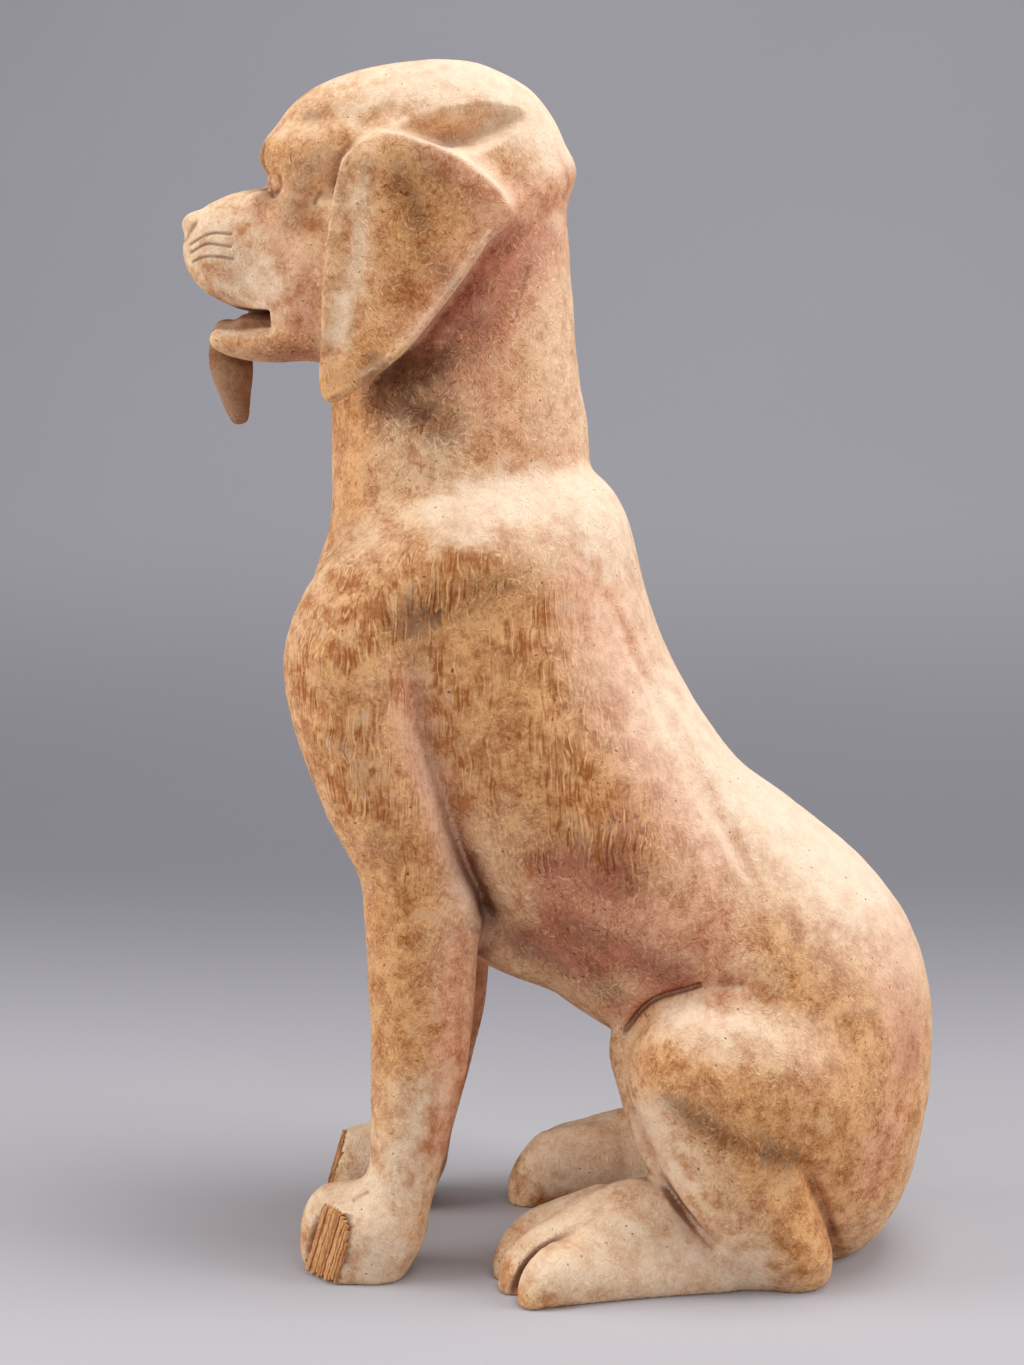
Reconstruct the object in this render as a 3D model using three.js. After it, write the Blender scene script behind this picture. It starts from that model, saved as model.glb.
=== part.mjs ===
// Carved wooden dog, sitting upright, made from one block of wood.
//
// The body is described as a carver would rough it out: rounded masses (balls), limbs that
// follow a path with a depth and a width at each station, a leaf shape for the ear, and cuts.
// Every mass is a signed distance: negative inside the wood, positive outside. The masses are
// joined with soft seams, the surface is traced on a grid, and flat areas are thinned out.
//
// Millimetres, +Z up. The dog looks along -X. Its left side faces -Y. It stands on z = 0.

import * as THREE from "three";

// Driving dimensions
const HEIGHT = 450; // sole to top of head
const DRAWN_HEIGHT = 450; // height at which the stations below are written down
const HEAD_TURN = 5; // degrees the head is turned to the dog's left
const HEAD_PIVOT = -35; // X of the upright axis in the neck that the head turns about
const GRID = 3; // spacing of the grid that traces the surface
const FACES = 9000; // triangles left after thinning
const EAR_INNER = 33; // from the head's middle plane to the ear's inner side
const EAR_OUTER = 42.5; // from the middle plane to the ear's outer side, at the top
const EAR_FLARE = 5.5; // how much further out the tip of the ear hangs
const WOOD = { color: 0xc9a47c, roughness: 0.82, metalness: 0 };

// Stations of the body: [x, y, z, half depth, half width]. Legs are the dog's left ones
const NECK = [[-39.5, 0, 384.5, 43.6, 34.5], [-39, 0, 351, 45.4, 36.5], [-38, 0, 325, 47, 38],
  [-36.5, 0, 306.5, 48.5, 40], [-36.5, 0, 287.5, 49, 42], [-33.5, 0, 265, 54, 44]];
const TRUNK = [[-31.5, 0, 257, 57, 52], [-25.5, 0, 241.5, 59.5, 58], [-14.5, 0, 210.5, 60, 60],
  [4.5, 0, 177.5, 59, 60], [30.5, 0, 149, 56, 58], [59.5, 0, 126.5, 56, 57], [81.5, 0, 102, 59, 59],
  [87.5, 0, 74.5, 56, 61], [93, 0, 47, 46.5, 52], [101.5, 0, 26, 30, 37]];
const BELLY = [[-36.5, 0, 136.5, 14, 26], [-22.5, 0, 124.5, 14, 32], [-8.5, 0, 118.5, 14, 36],
  [6, 0, 116, 14, 38], [21, 0, 105.5, 14, 38]];
const FORELEG = [[-59.5, -31, 250.5, 29, 26], [-68, -34, 231.5, 30.5, 28], [-68.5, -36, 211, 27, 27],
  [-59.5, -38, 182, 25, 24], [-51.5, -39, 156.5, 20.5, 20], [-48, -40, 136, 21, 18],
  [-48, -40.5, 111.5, 19.8, 17], [-48.5, -41, 85.5, 18.2, 16], [-51.5, -41, 62.5, 15.8, 15],
  [-54.5, -41, 41.5, 13.4, 14.5], [-59.5, -41, 22, 12.5, 15]];
const TOE_INNER = [[-75.5, -33, 19.5, 11, 8], [-82.5, -34, 20, 9, 7.5], [-88, -36, 10.5, 8.5, 7.5],
  [-89.5, -37, 3.5, 7, 7]];
const TOE_MIDDLE = [[-75, -43, 22, 12, 11], [-80.5, -46, 19, 12, 11], [-82.5, -50, 6.5, 13, 12]];
const TOE_OUTER = [[-59, -46, 21, 13, 11], [-65.5, -48, 17.5, 13, 11.5], [-69.5, -50, 10, 11, 10],
  [-70.5, -51, 4, 9, 9]];
const INNER_THIGH = [[37, -32, 100.5, 12, 10], [32.5, -34, 86.5, 11, 9], [34.5, -35, 75.5, 11, 9],
  [38.5, -38, 59.5, 10, 10], [46, -40, 41, 9, 10]];
const SHIN = [[55, -48, 76, 22, 22], [68, -48, 46, 25, 22], [83.5, -45, 22.5, 19.5, 19.5],
  [90, -43, 12.5, 16, 16]];
const FOOT = [[90, -42, 10, 15.5, 14], [70.5, -41, 10.5, 16, 15], [51.5, -43, 15.5, 18.5, 16.5],
  [35, -46, 19, 20, 17], [20.5, -49, 17, 18, 17], [5.5, -52, 11.5, 13, 18]];
const HIND_TOES = [
  [[19.5, -38, 20.5, 14, 9], [3.5, -38, 15.5, 13, 9.5], [-8.5, -38.5, 8, 10.5, 9],
    [-14.5, -39, 2.5, 7.5, 7.5]],
  [[18.5, -51, 20.5, 15, 9.5], [4, -54, 16, 13, 10], [-7, -56, 8, 9.5, 9], [-13, -56.5, 2, 6, 7.5]],
  [[62.5, -50, 12, 13, 9], [39, -55, 13, 14, 9.5], [15.5, -64, 12.5, 13, 10], [3, -68, 7, 9.5, 9],
    [-4, -70, 2, 6, 7.5]],
];

// Stations of the head, in the head's own frame before it is turned
const BROW = [[-104.5, 0, 417.5, 6.5, 6.5], [-104, -8, 415.5, 6.5, 6.5], [-101, -15, 413, 5.5, 6],
  [-93, -20, 411.5, 4, 4.5]];
const MUZZLE = [[-94, 0, 380, 24.5, 27], [-110.5, 0, 380, 22.6, 22], [-120, 0, 380.5, 19.5, 18.5],
  [-124.5, 0, 380.5, 14.5, 15.5]];
const BRIDGE = [[-103.5, 0, 397, 6, 8], [-120.5, 0, 392.5, 7, 9], [-133, 0, 389.5, 5, 8]];
const JAW = [[-88.5, 0, 350, 9.5, 24], [-108, 0, 346, 6.8, 18.5], [-120, 0, 346.5, 5.8, 13],
  [-126, 0, 347.5, 4.2, 9]];
const MOUTH = [[-170, 0, 354.4, 3, 60], [-111.5, 0, 354.4, 3, 60]];
const TONGUE_ROOT = [[-102, 0, 352, 5, 9], [-113.5, 0, 353.5, 4.5, 9.5], [-119, 2, 352, 3.6, 9],
  [-123.5, 6, 351.5, 3.6, 7]];
const TONGUE_TIP = [[-123.5, 7, 352, 5.5, 3.4], [-124.5, 12, 347, 7.2, 3.6],
  [-123.5, 13, 338.5, 8.2, 4], [-122, 12, 327, 6, 3.6], [-120.5, 11, 319, 3.4, 2.8]];
const LOWER_LID = [[-104.5, -8, 398, 2.2, 2.2], [-102, -14, 397.5, 2.4, 2.4],
  [-97.5, -20, 399.5, 2.4, 2.4]];
const NAPE = [[-26, -31, 388.5, 5, 5], [-19, -28.5, 394, 5, 5], [-10.5, -22, 400, 5, 5],
  [-3.5, -13, 406, 5.5, 5.5], [0, 0, 409.5, 5.5, 5.5]];

// Outline of the ear seen from the side: [x, z]
const EAR = [[-76.5, 412], [-80, 404.5], [-83, 389.5], [-85, 370.5], [-86.5, 346], [-87, 331],
  [-85, 324.5], [-80.5, 324], [-72, 329.5], [-58, 340], [-45.5, 354.5], [-34.5, 368.5],
  [-27, 380.5], [-19, 387.5], [-18, 393], [-23, 400], [-31.5, 407.5], [-44.5, 414.5], [-63, 419]];

// Relief of the ear, [x, z] along each ridge or hollow, then its half width and height
const EAR_RELIEF = [
  { path: [[-70, 409.5], [-72, 386], [-74.5, 360], [-78, 334.5]], width: 5, rise: 1.8 },
  { path: [[-67.5, 411], [-58, 413], [-45, 410], [-33, 402.5], [-24, 393]], width: 6, rise: 1.5 },
  { path: [[-49, 396.5], [-54.5, 381], [-58, 360]], width: 12, rise: -4 },
  { path: [[-76.5, 395], [-78, 367], [-81, 342.5]], width: 3.5, rise: -1 },
];

// Creases seen from the side, [x, z] along each, then half width and depth
const CREASES = [
  { path: [[28.5, 95], [38, 107], [54.5, 114.5], [69.5, 116]], width: 2.5, depth: 2.5 },
  { path: [[90.5, 52.5], [96.5, 39.5], [104, 16], [107.5, 2.5]], width: 2.5, depth: 2.5 },
  { path: [[31.5, 64.5], [39.5, 45], [51.5, 27.5], [60, 18]], width: 2, depth: 1.6 },
];
const ARMPIT = [[-54, 236], [-46, 204], [-36.5, 171.5], [-30, 152.5], [-25, 139.5]];
const SPINE_SIDE = [[21, -40, 253], [37.5, -42, 218.5], [56, -42, 184], [76, -42, 151]];

// Where the two front toes have broken away: a point on each break and the way it faces
const NEAR_BREAK = { point: [-84.5, -50, 0], facing: [-0.7, -0.68, 0.22] };
const FAR_BREAK = { point: [-96.7, 60.9, 0], facing: [-0.95, -0.12, 0.28] };

const clamp01 = (v) => Math.min(1, Math.max(0, v));
const length = (x, y, z) => Math.sqrt(x * x + y * y + z * z);

// Soft seams: k is the width of the fillet between the two surfaces
function blend(a, b, k) {
  const h = Math.max(k - Math.abs(a - b), 0) / k;
  return Math.min(a, b) - h * h * k * 0.25;
}
const blendAll = (k, values) => values.reduce((a, b) => blend(a, b, k));
const cut = (a, b, k) => -blend(-a, b, k);
const groove = (distance, width, depth) => depth * Math.exp(-((distance / width) ** 2));

// A rounded mass: an ellipsoid at a centre, with its three half sizes, tipped about Y
function ball(centre, half, pitch = 0) {
  const c = Math.cos(THREE.MathUtils.degToRad(pitch));
  const s = Math.sin(THREE.MathUtils.degToRad(pitch));
  return (x, y, z) => {
    const dx = x - centre[0];
    const dz = z - centre[2];
    const u = (dx * c + dz * s) / half[0];
    const v = (y - centre[1]) / half[1];
    const w = (dz * c - dx * s) / half[2];
    const near = length(u, v, w);
    const slope = length(u / half[0], v / half[1], w / half[2]);
    return slope < 1e-9 ? -Math.min(...half) : (near * (near - 1)) / slope;
  };
}

// Points along a smooth curve through the stations, each with its half sizes
function alongStations(stations, steps) {
  const path = new THREE.CatmullRomCurve3(
    stations.map((s) => new THREE.Vector3(s[0], s[1], s[2])), false, "catmullrom", 0.5);
  const size = new THREE.CatmullRomCurve3(
    stations.map((s) => new THREE.Vector3(s[3] ?? 0, s[4] ?? 0, 0)), false, "catmullrom", 0.5);
  const count = steps * (stations.length - 1);
  const points = [];
  for (let i = 0; i <= count; i++) {
    points.push({ at: path.getPoint(i / count), size: size.getPoint(i / count) });
  }
  return points;
}

// A limb: an ellipse swept along its stations. Width lies across the dog, depth at right angles
function limb(stations, steps = 4) {
  const points = alongStations(stations, steps);
  const pieces = [];
  for (let i = 0; i + 1 < points.length; i++) {
    const a = points[i].at;
    const span = points[i + 1].at.clone().sub(a);
    const along = span.clone().normalize();
    const side = new THREE.Vector3(0, 1, 0).addScaledVector(along, -along.y).normalize();
    const front = along.clone().cross(side);
    const sizes = [points[i].size, points[i + 1].size];
    const reach = Math.max(sizes[0].x, sizes[0].y, sizes[1].x, sizes[1].y) + span.length() / 2;
    const middle = a.clone().addScaledVector(span, 0.5);
    pieces.push({ a, along, side, front, sizes, span: span.length(), reach, middle });
  }
  return (x, y, z) => {
    let best = Infinity;
    for (const p of pieces) {
      const away = length(x - p.middle.x, y - p.middle.y, z - p.middle.z) - p.reach;
      if (away > best) continue;
      const dx = x - p.a.x;
      const dy = y - p.a.y;
      const dz = z - p.a.z;
      const run = dx * p.along.x + dy * p.along.y + dz * p.along.z;
      const t = clamp01(run / p.span);
      const deep = p.sizes[0].x + (p.sizes[1].x - p.sizes[0].x) * t;
      const wide = p.sizes[0].y + (p.sizes[1].y - p.sizes[0].y) * t;
      const u = (dx * p.front.x + dy * p.front.y + dz * p.front.z) / deep;
      const v = (dx * p.side.x + dy * p.side.y + dz * p.side.z) / wide;
      const w = (run - t * p.span) / Math.min(deep, wide);
      const near = length(u, v, w);
      const slope = length(u / deep, v / wide, w / Math.min(deep, wide));
      const d = slope < 1e-9 ? -Math.min(deep, wide) : (near * (near - 1)) / slope;
      best = Math.min(best, d);
    }
    return best;
  };
}

// Distance to a curve through [x, y, z] points, or through [x, z] points seen from the side
function curve(points, steps = 3) {
  const flat = points[0].length === 2;
  const through = flat ? points.map(([x, z]) => [x, 0, z]) : points;
  const at = alongStations(through, steps).map((p) => p.at);
  return (x, y, z) => {
    const py = flat ? 0 : y;
    let best = Infinity;
    for (let i = 0; i + 1 < at.length; i++) {
      const [a, b] = [at[i], at[i + 1]];
      const [bx, by, bz] = [b.x - a.x, b.y - a.y, b.z - a.z];
      const t = clamp01(((x - a.x) * bx + (py - a.y) * by + (z - a.z) * bz) / (bx * bx + by * by + bz * bz));
      best = Math.min(best, length(x - a.x - bx * t, py - a.y - by * t, z - a.z - bz * t));
    }
    return best;
  };
}

// Signed distance to a closed outline seen from the side
function leaf(points, steps = 3) {
  const edge = new THREE.CatmullRomCurve3(
    points.map(([x, z]) => new THREE.Vector3(x, 0, z)), true, "catmullrom", 0.5)
    .getPoints(steps * points.length).slice(0, -1);
  return (x, z) => {
    let best = Infinity;
    let inside = false;
    for (let i = 0, j = edge.length - 1; i < edge.length; j = i++) {
      const [a, b] = [edge[i], edge[j]];
      const [ex, ez] = [b.x - a.x, b.z - a.z];
      const t = clamp01(((x - a.x) * ex + (z - a.z) * ez) / (ex * ex + ez * ez));
      best = Math.min(best, length(x - a.x - ex * t, z - a.z - ez * t, 0));
      if (a.z > z !== b.z > z && x < (ex * (z - a.z)) / ez + a.x) inside = !inside;
    }
    return inside ? -best : best;
  };
}

// Distance to a plane through a point, positive on the side it faces
function plane({ point, facing }) {
  const n = new THREE.Vector3(...facing).normalize();
  return (x, y, z) => n.x * (x - point[0]) + n.y * (y - point[1]) + n.z * (z - point[2]);
}

// The masses
const neck = limb(NECK, 5);
const yoke = ball([-30, 0, 260.5], [56, 55, 41], 4);
const withers = ball([3, 0, 273.5], [22.5, 38, 26]);
const trunk = limb(TRUNK, 6);
const belly = limb(BELLY);
const breast = ball([-61.5, 0, 225.5], [37, 46, 48]);
const foreleg = limb(FORELEG, 6);
const elbow = ball([-33, -42, 139], [7.5, 12, 12]);
const heelPad = ball([-64.5, -42, 13.5], [15.5, 16, 14]);
const knuckle = ball([-72.5, -41, 21.5], [13, 13, 12]);
const innerToe = limb(TOE_INNER);
const middleToe = limb(TOE_MIDDLE);
const outerToe = limb(TOE_OUTER);
const thigh = ball([74, -40, 74], [42, 33, 40]);
const knee = ball([50.5, -48, 83], [20.5, 23, 23]);
const innerThigh = limb(INNER_THIGH);
const shin = limb(SHIN);
const foot = limb(FOOT);
const hindToes = HIND_TOES.map((toe) => limb(toe));
const skull = ball([-40, 0, 406.5], [44.6, 36.5, 43.5]);
const forehead = ball([-76, 0, 414], [30.5, 30, 29]);
const crown = ball([-58, 0, 415.5], [36, 33, 32]);
const brow = limb(BROW, 3);
const muzzle = limb(MUZZLE);
const bridge = limb(BRIDGE, 2);
const cheek = ball([-91, 0, 366], [23, 30, 25]);
const jaw = limb(JAW);
const nose = ball([-134.5, 0, 390], [6, 8.5, 5]);
const socket = ball([-111, -13, 406], [5.5, 7, 5.6]);
const eyeball = ball([-100.5, -13, 403.5], [6.8, 7, 7]);
const lowerLid = limb(LOWER_LID, 3);
const eyeBag = ball([-100, -17, 392.5], [8, 9, 7]);
const temple = ball([-87.5, -43, 396.5], [17, 14, 14]);
const nape = limb(NAPE);
const mouth = limb(MOUTH, 1);
const tongueRoot = limb(TONGUE_ROOT, 3);
const tongueTip = limb(TONGUE_TIP);
const earOutline = leaf(EAR);
const earRelief = EAR_RELIEF.map((r) => ({ ...r, near: curve(r.path) }));
const creases = CREASES.map((c) => ({ ...c, near: curve(c.path) }));
const armpit = curve(ARMPIT);
const spineSide = curve(SPINE_SIDE);
const nearBreak = plane(NEAR_BREAK);
const farBreak = plane(FAR_BREAK);

// The ear: a thick leaf that lies on the skull at the top and hangs free at the tip
function earAt(x, m, z) {
  const side = earOutline(x, z);
  if (side > 14) return side;
  const hang = clamp01((415 - z) / 90);
  let outer = EAR_OUTER + EAR_FLARE * hang;
  for (const r of earRelief) outer += groove(r.near(x, 0, z), r.width, r.rise);
  const slab = Math.max(-m - outer, EAR_INNER + m);
  const round = 2.5;
  const over = length(Math.max(side + round, 0), Math.max(slab + round, 0), 0);
  return over + Math.min(Math.max(side, slab) + round, 0) - round;
}

function headAt(worldX, worldY, z) {
  const c = Math.cos(THREE.MathUtils.degToRad(HEAD_TURN));
  const s = Math.sin(THREE.MathUtils.degToRad(HEAD_TURN));
  const x = HEAD_PIVOT + (worldX - HEAD_PIVOT) * c + worldY * s;
  const y = worldY * c - (worldX - HEAD_PIVOT) * s;
  const m = -Math.abs(y);
  let d = blend(skull(x, y, z), forehead(x, y, z), 12);
  d = blend(d, crown(x, y, z), 8);
  d = blend(d, nape(x, m, z), 7);
  d = blend(d, brow(x, m, z), 6);
  d = cut(d, temple(x, m, z), 4);
  const face = blend(blend(muzzle(x, y, z), bridge(x, y, z), 3), cheek(x, y, z), 10);
  d = blend(d, face, 6);
  d = blend(d, jaw(x, y, z), 3);
  d = blend(d, nose(x, y, z), 1.5);
  d = cut(d, socket(x, m, z), 2.5);
  d = blend(d, eyeball(x, m, z), 0.8);
  d = blend(d, lowerLid(x, m, z), 1.5);
  d = blend(d, eyeBag(x, m, z), 3);
  d = cut(d, mouth(x, y, z), 1);
  d = blend(d, tongueRoot(x, y, z), 1);
  d = blend(d, tongueTip(x, y, z), 1.5);
  return blend(d, earAt(x, m, z), 2 + 7 * clamp01((z - 385) / 25));
}

// A front leg with its paw. The left paw has lost its middle toe, the right one its toe tips
function forelegAt(x, y, m, z) {
  let d = foreleg(x, m, z);
  if (z < 70) {
    let broken = blend(middleToe(x, m, z), knuckle(x, m, z), 5);
    if (y < 0) broken = Math.max(broken, nearBreak(x, y, z));
    let paw = blend(heelPad(x, m, z), innerToe(x, m, z), 1.5);
    paw = blend(blend(paw, broken, 1), outerToe(x, m, z), 2.5);
    d = blend(d, paw, 5);
    if (y > 0) d = Math.max(d, farBreak(x, y, z));
  }
  return z > 80 ? blend(d, elbow(x, m, z), 6) : d;
}

// A folded hind leg: thigh and shin side by side, and a long foot with three toes
function hindLegAt(x, y, m, z) {
  let d = blend(thigh(x, m, z), knee(x, m, z), 10);
  d = blend(d, innerThigh(x, m, z), 4);
  d = blend(d, shin(x, m, z), 8);
  const raised = y > 0 ? 0.12 * clamp01((8 - x) / 20) : 0; // the right toes stand a little higher
  const toeZ = z * (1 - raised);
  const toes = hindToes.map((toe) => toe(x, m, toeZ));
  return blend(d, blendAll(2, [foot(x, m, z), ...toes]), 3);
}

// Distance to the whole dog
function dogAt(x, y, z) {
  const m = -Math.abs(y); // left and right halves share one description
  let d = blend(trunk(x, y, z), yoke(x, y, z), 10);
  d = blend(d, withers(x, y, z), 10);
  d = blend(d, neck(x, y, z), 4);
  d = blend(d, breast(x, y, z), 12);
  if (z < 170) d = blend(d, belly(x, y, z), 10);
  d = blend(d, forelegAt(x, y, m, z), 7);
  if (z < 170) d = blend(d, hindLegAt(x, y, m, z), 5);
  if (m < -30) d += clamp01((250 - z) / 60) * groove(armpit(x, y, z), 4, 2.6);
  d += groove(spineSide(x, m, z), 6, 1.3);
  if (m < -20 && z < 160) {
    for (const c of creases) d += groove(c.near(x, y, z), c.width, c.depth);
    const forward = clamp01((16 - x) / 14) * clamp01((48 - z) / 6);
    d += forward * groove(m + 47 - 0.05 * x, 1.5, 2);
    d += forward * groove(m + 61 + 0.05 * x, 1.5, 2);
  }
  if (z > 290) d = blend(d, headAt(x, y, z), 3);
  return Math.max(d, -z);
}

// Trace the surface: each grid cell is split into six tetrahedra and the zero level is joined up.
// Blocks of cells that the first look shows to be far from the surface are passed over.
function trace(field, low, high, step) {
  const [nx, ny, nz] = [0, 1, 2].map((i) => Math.ceil((high[i] - low[i]) / step) + 1);
  const block = 6;
  const values = new Float32Array(nx * ny * nz);
  const corner = (i, j, k) => (k * ny + j) * nx + i;
  for (let k0 = 0; k0 < nz; k0 += block) {
    for (let j0 = 0; j0 < ny; j0 += block) {
      for (let i0 = 0; i0 < nx; i0 += block) {
        const half = (block / 2) * step;
        const centre = field(low[0] + i0 * step + half, low[1] + j0 * step + half, low[2] + k0 * step + half);
        const far = Math.abs(centre) > block * step * 1.5 + 3;
        for (let k = k0; k < Math.min(k0 + block, nz); k++) {
          for (let j = j0; j < Math.min(j0 + block, ny); j++) {
            for (let i = i0; i < Math.min(i0 + block, nx); i++) {
              const d = far ? centre : field(low[0] + i * step, low[1] + j * step, low[2] + k * step);
              values[corner(i, j, k)] = Math.abs(d) < 1e-3 ? 1e-3 : d;
            }
          }
        }
      }
    }
  }
  const points = [];
  const faces = [];
  const known = new Map();
  const total = nx * ny * nz;
  const place = (c) => {
    const i = c % nx;
    const j = ((c - i) / nx) % ny;
    const k = Math.floor(c / (nx * ny));
    return [low[0] + i * step, low[1] + j * step, low[2] + k * step];
  };
  const crossing = (a, b) => {
    const key = a < b ? a * total + b : b * total + a;
    if (!known.has(key)) {
      const t = values[a] / (values[a] - values[b]);
      const [p, q] = [place(a), place(b)];
      known.set(key, points.length);
      points.push(p.map((v, i) => v + (q[i] - v) * t));
    }
    return known.get(key);
  };
  const add = (a, b, c, insideCorner) => {
    const [p, q, r] = [points[a], points[b], points[c]];
    const n = new THREE.Vector3(q[0] - p[0], q[1] - p[1], q[2] - p[2])
      .cross(new THREE.Vector3(r[0] - p[0], r[1] - p[1], r[2] - p[2]));
    const w = place(insideCorner);
    const outward = n.x * (p[0] - w[0]) + n.y * (p[1] - w[1]) + n.z * (p[2] - w[2]) > 0;
    faces.push(outward ? [a, b, c] : [a, c, b]);
  };
  const tetrahedra = [[0, 1, 3, 7], [0, 3, 2, 7], [0, 2, 6, 7], [0, 6, 4, 7], [0, 4, 5, 7], [0, 5, 1, 7]];
  for (let k = 0; k < nz - 1; k++) {
    for (let j = 0; j < ny - 1; j++) {
      for (let i = 0; i < nx - 1; i++) {
        const cell = [];
        for (let q = 0; q < 8; q++) cell.push(corner(i + (q & 1), j + ((q >> 1) & 1), k + (q >> 2)));
        const wood = cell.filter((c) => values[c] < 0).length;
        if (wood === 0 || wood === 8) continue;
        for (const t of tetrahedra) {
          const within = t.map((q) => cell[q]).filter((c) => values[c] < 0);
          const without = t.map((q) => cell[q]).filter((c) => values[c] >= 0);
          if (within.length === 1) add(...without.map((c) => crossing(within[0], c)), within[0]);
          if (within.length === 3) add(...within.map((c) => crossing(c, without[0])), within[0]);
          if (within.length === 2) {
            const a = crossing(within[0], without[0]);
            const b = crossing(within[0], without[1]);
            const c = crossing(within[1], without[1]);
            const d = crossing(within[1], without[0]);
            add(a, b, c, within[0]);
            add(a, c, d, within[0]);
          }
        }
      }
    }
  }
  return { points, faces };
}

// Thin out: take away the edge whose removal changes the surface least, until few enough faces
// are left. Each point carries the sum of the planes it has stood for (a symmetric 4 x 4 matrix,
// kept as ten numbers). Points on the soles stay at z = 0, and no step may fold a face over.
function thin({ points, faces }, target) {
  const planes = points.map(() => new Float64Array(10));
  const around = points.map(() => new Set());
  const stamp = new Int32Array(points.length);
  const normalOf = (a, b, c) => {
    const ux = b[0] - a[0], uy = b[1] - a[1], uz = b[2] - a[2];
    const vx = c[0] - a[0], vy = c[1] - a[1], vz = c[2] - a[2];
    return [uy * vz - uz * vy, uz * vx - ux * vz, ux * vy - uy * vx];
  };
  faces.forEach((f, index) => {
    const n = normalOf(points[f[0]], points[f[1]], points[f[2]]);
    const area = length(...n);
    for (const v of f) around[v].add(index);
    if (area < 1e-12) return;
    const [a, b, c] = n.map((q) => q / area);
    const d = -(a * points[f[0]][0] + b * points[f[0]][1] + c * points[f[0]][2]);
    const q = [a * a, a * b, a * c, a * d, b * b, b * c, b * d, c * c, c * d, d * d];
    for (const v of f) q.forEach((value, i) => { planes[v][i] += value * area; });
  });
  const error = (q, [x, y, z]) => q[0] * x * x + 2 * q[1] * x * y + 2 * q[2] * x * z + 2 * q[3] * x
    + q[4] * y * y + 2 * q[5] * y * z + 2 * q[6] * y + q[7] * z * z + 2 * q[8] * z + q[9];
  const onSole = (p) => p[2] === 0;
  const best = (u, v) => {
    const q = planes[u].map((value, i) => value + planes[v][i]);
    const [p, r] = [points[u], points[v]];
    if (onSole(p) !== onSole(r)) {
      const kept = onSole(p) ? p : r;
      return { at: kept, cost: error(q, kept) };
    }
    const choices = [p, r, p.map((value, i) => (value + r[i]) / 2)];
    if (!onSole(p)) {
      const det = q[0] * (q[4] * q[7] - q[5] * q[5]) - q[1] * (q[1] * q[7] - q[5] * q[2])
        + q[2] * (q[1] * q[5] - q[4] * q[2]);
      if (Math.abs(det) > 1e-7 * (q[0] + q[4] + q[7]) ** 3) {
        const x = -(q[3] * (q[4] * q[7] - q[5] * q[5]) - q[1] * (q[6] * q[7] - q[5] * q[8])
          + q[2] * (q[6] * q[5] - q[4] * q[8])) / det;
        const y = -(q[0] * (q[6] * q[7] - q[8] * q[5]) - q[3] * (q[1] * q[7] - q[5] * q[2])
          + q[2] * (q[1] * q[8] - q[6] * q[2])) / det;
        const z = -(q[0] * (q[4] * q[8] - q[5] * q[6]) - q[1] * (q[1] * q[8] - q[6] * q[2])
          + q[3] * (q[1] * q[5] - q[4] * q[2])) / det;
        const reach = 3 * length(p[0] - r[0], p[1] - r[1], p[2] - r[2]);
        if (z > 0.05 && length(x - p[0], y - p[1], z - p[2]) < reach) choices.unshift([x, y, z]);
      }
    }
    let pick = { at: choices[0], cost: error(q, choices[0]) };
    for (const at of choices.slice(1)) {
      const cost = error(q, at);
      if (cost < pick.cost) pick = { at, cost };
    }
    return pick;
  };

  // A heap keeps the cheapest edge on top
  const heap = [];
  const push = (item) => {
    let i = heap.push(item) - 1;
    while (i > 0) {
      const up = (i - 1) >> 1;
      if (heap[up].cost <= item.cost) break;
      heap[i] = heap[up];
      i = up;
    }
    heap[i] = item;
  };
  const pop = () => {
    const top = heap[0];
    const item = heap.pop();
    if (heap.length === 0) return top;
    let i = 0;
    for (let down = 1; down < heap.length; down = 2 * i + 1) {
      if (down + 1 < heap.length && heap[down + 1].cost < heap[down].cost) down++;
      if (heap[down].cost >= item.cost) break;
      heap[i] = heap[down];
      i = down;
    }
    heap[i] = item;
    return top;
  };
  const offer = (u, v) => {
    const { at, cost } = best(u, v);
    const gap = length(points[u][0] - points[v][0], points[u][1] - points[v][1], points[u][2] - points[v][2]);
    push({ u, v, at, cost: cost + 1e-4 * gap * gap, su: stamp[u], sv: stamp[v] });
  };
  const neighbours = (v) => {
    const found = new Set();
    for (const f of around[v]) for (const w of faces[f]) if (w !== v) found.add(w);
    return found;
  };
  for (const f of faces) for (let i = 0; i < 3; i++) if (f[i] < f[(i + 1) % 3]) offer(f[i], f[(i + 1) % 3]);
  let left = faces.length;
  while (left > target && heap.length > 0) {
    const { u, v, at, su, sv } = pop();
    if (stamp[u] !== su || stamp[v] !== sv) continue;
    const [nu, nv] = [neighbours(u), neighbours(v)];
    if ([...nu].filter((w) => nv.has(w)).length !== 2) continue;
    const folds = (from, other) => [...around[from]].some((index) => {
      const f = faces[index];
      if (f.includes(other)) return false;
      const old = f.map((w) => points[w]);
      const moved = f.map((w) => (w === from ? at : points[w]));
      const [n, m] = [normalOf(...old), normalOf(...moved)];
      const size = length(...n) * length(...m);
      return length(...m) < 1e-3 || n[0] * m[0] + n[1] * m[1] + n[2] * m[2] < 0.3 * size;
    });
    if (folds(u, v) || folds(v, u)) continue;
    points[u] = at;
    planes[v].forEach((value, i) => { planes[u][i] += value; });
    for (const index of around[v]) {
      const f = faces[index];
      if (f.includes(u)) {
        for (const w of f) if (w !== v) around[w].delete(index);
        faces[index] = null;
        left--;
      } else {
        f[f.indexOf(v)] = u;
        around[u].add(index);
      }
    }
    around[v].clear();
    stamp[v]++;
    stamp[u]++;
    for (const w of neighbours(u)) offer(u, w);
  }
  return faces.filter((f) => f !== null).map((f) => f.map((v) => points[v]));
}

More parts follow.
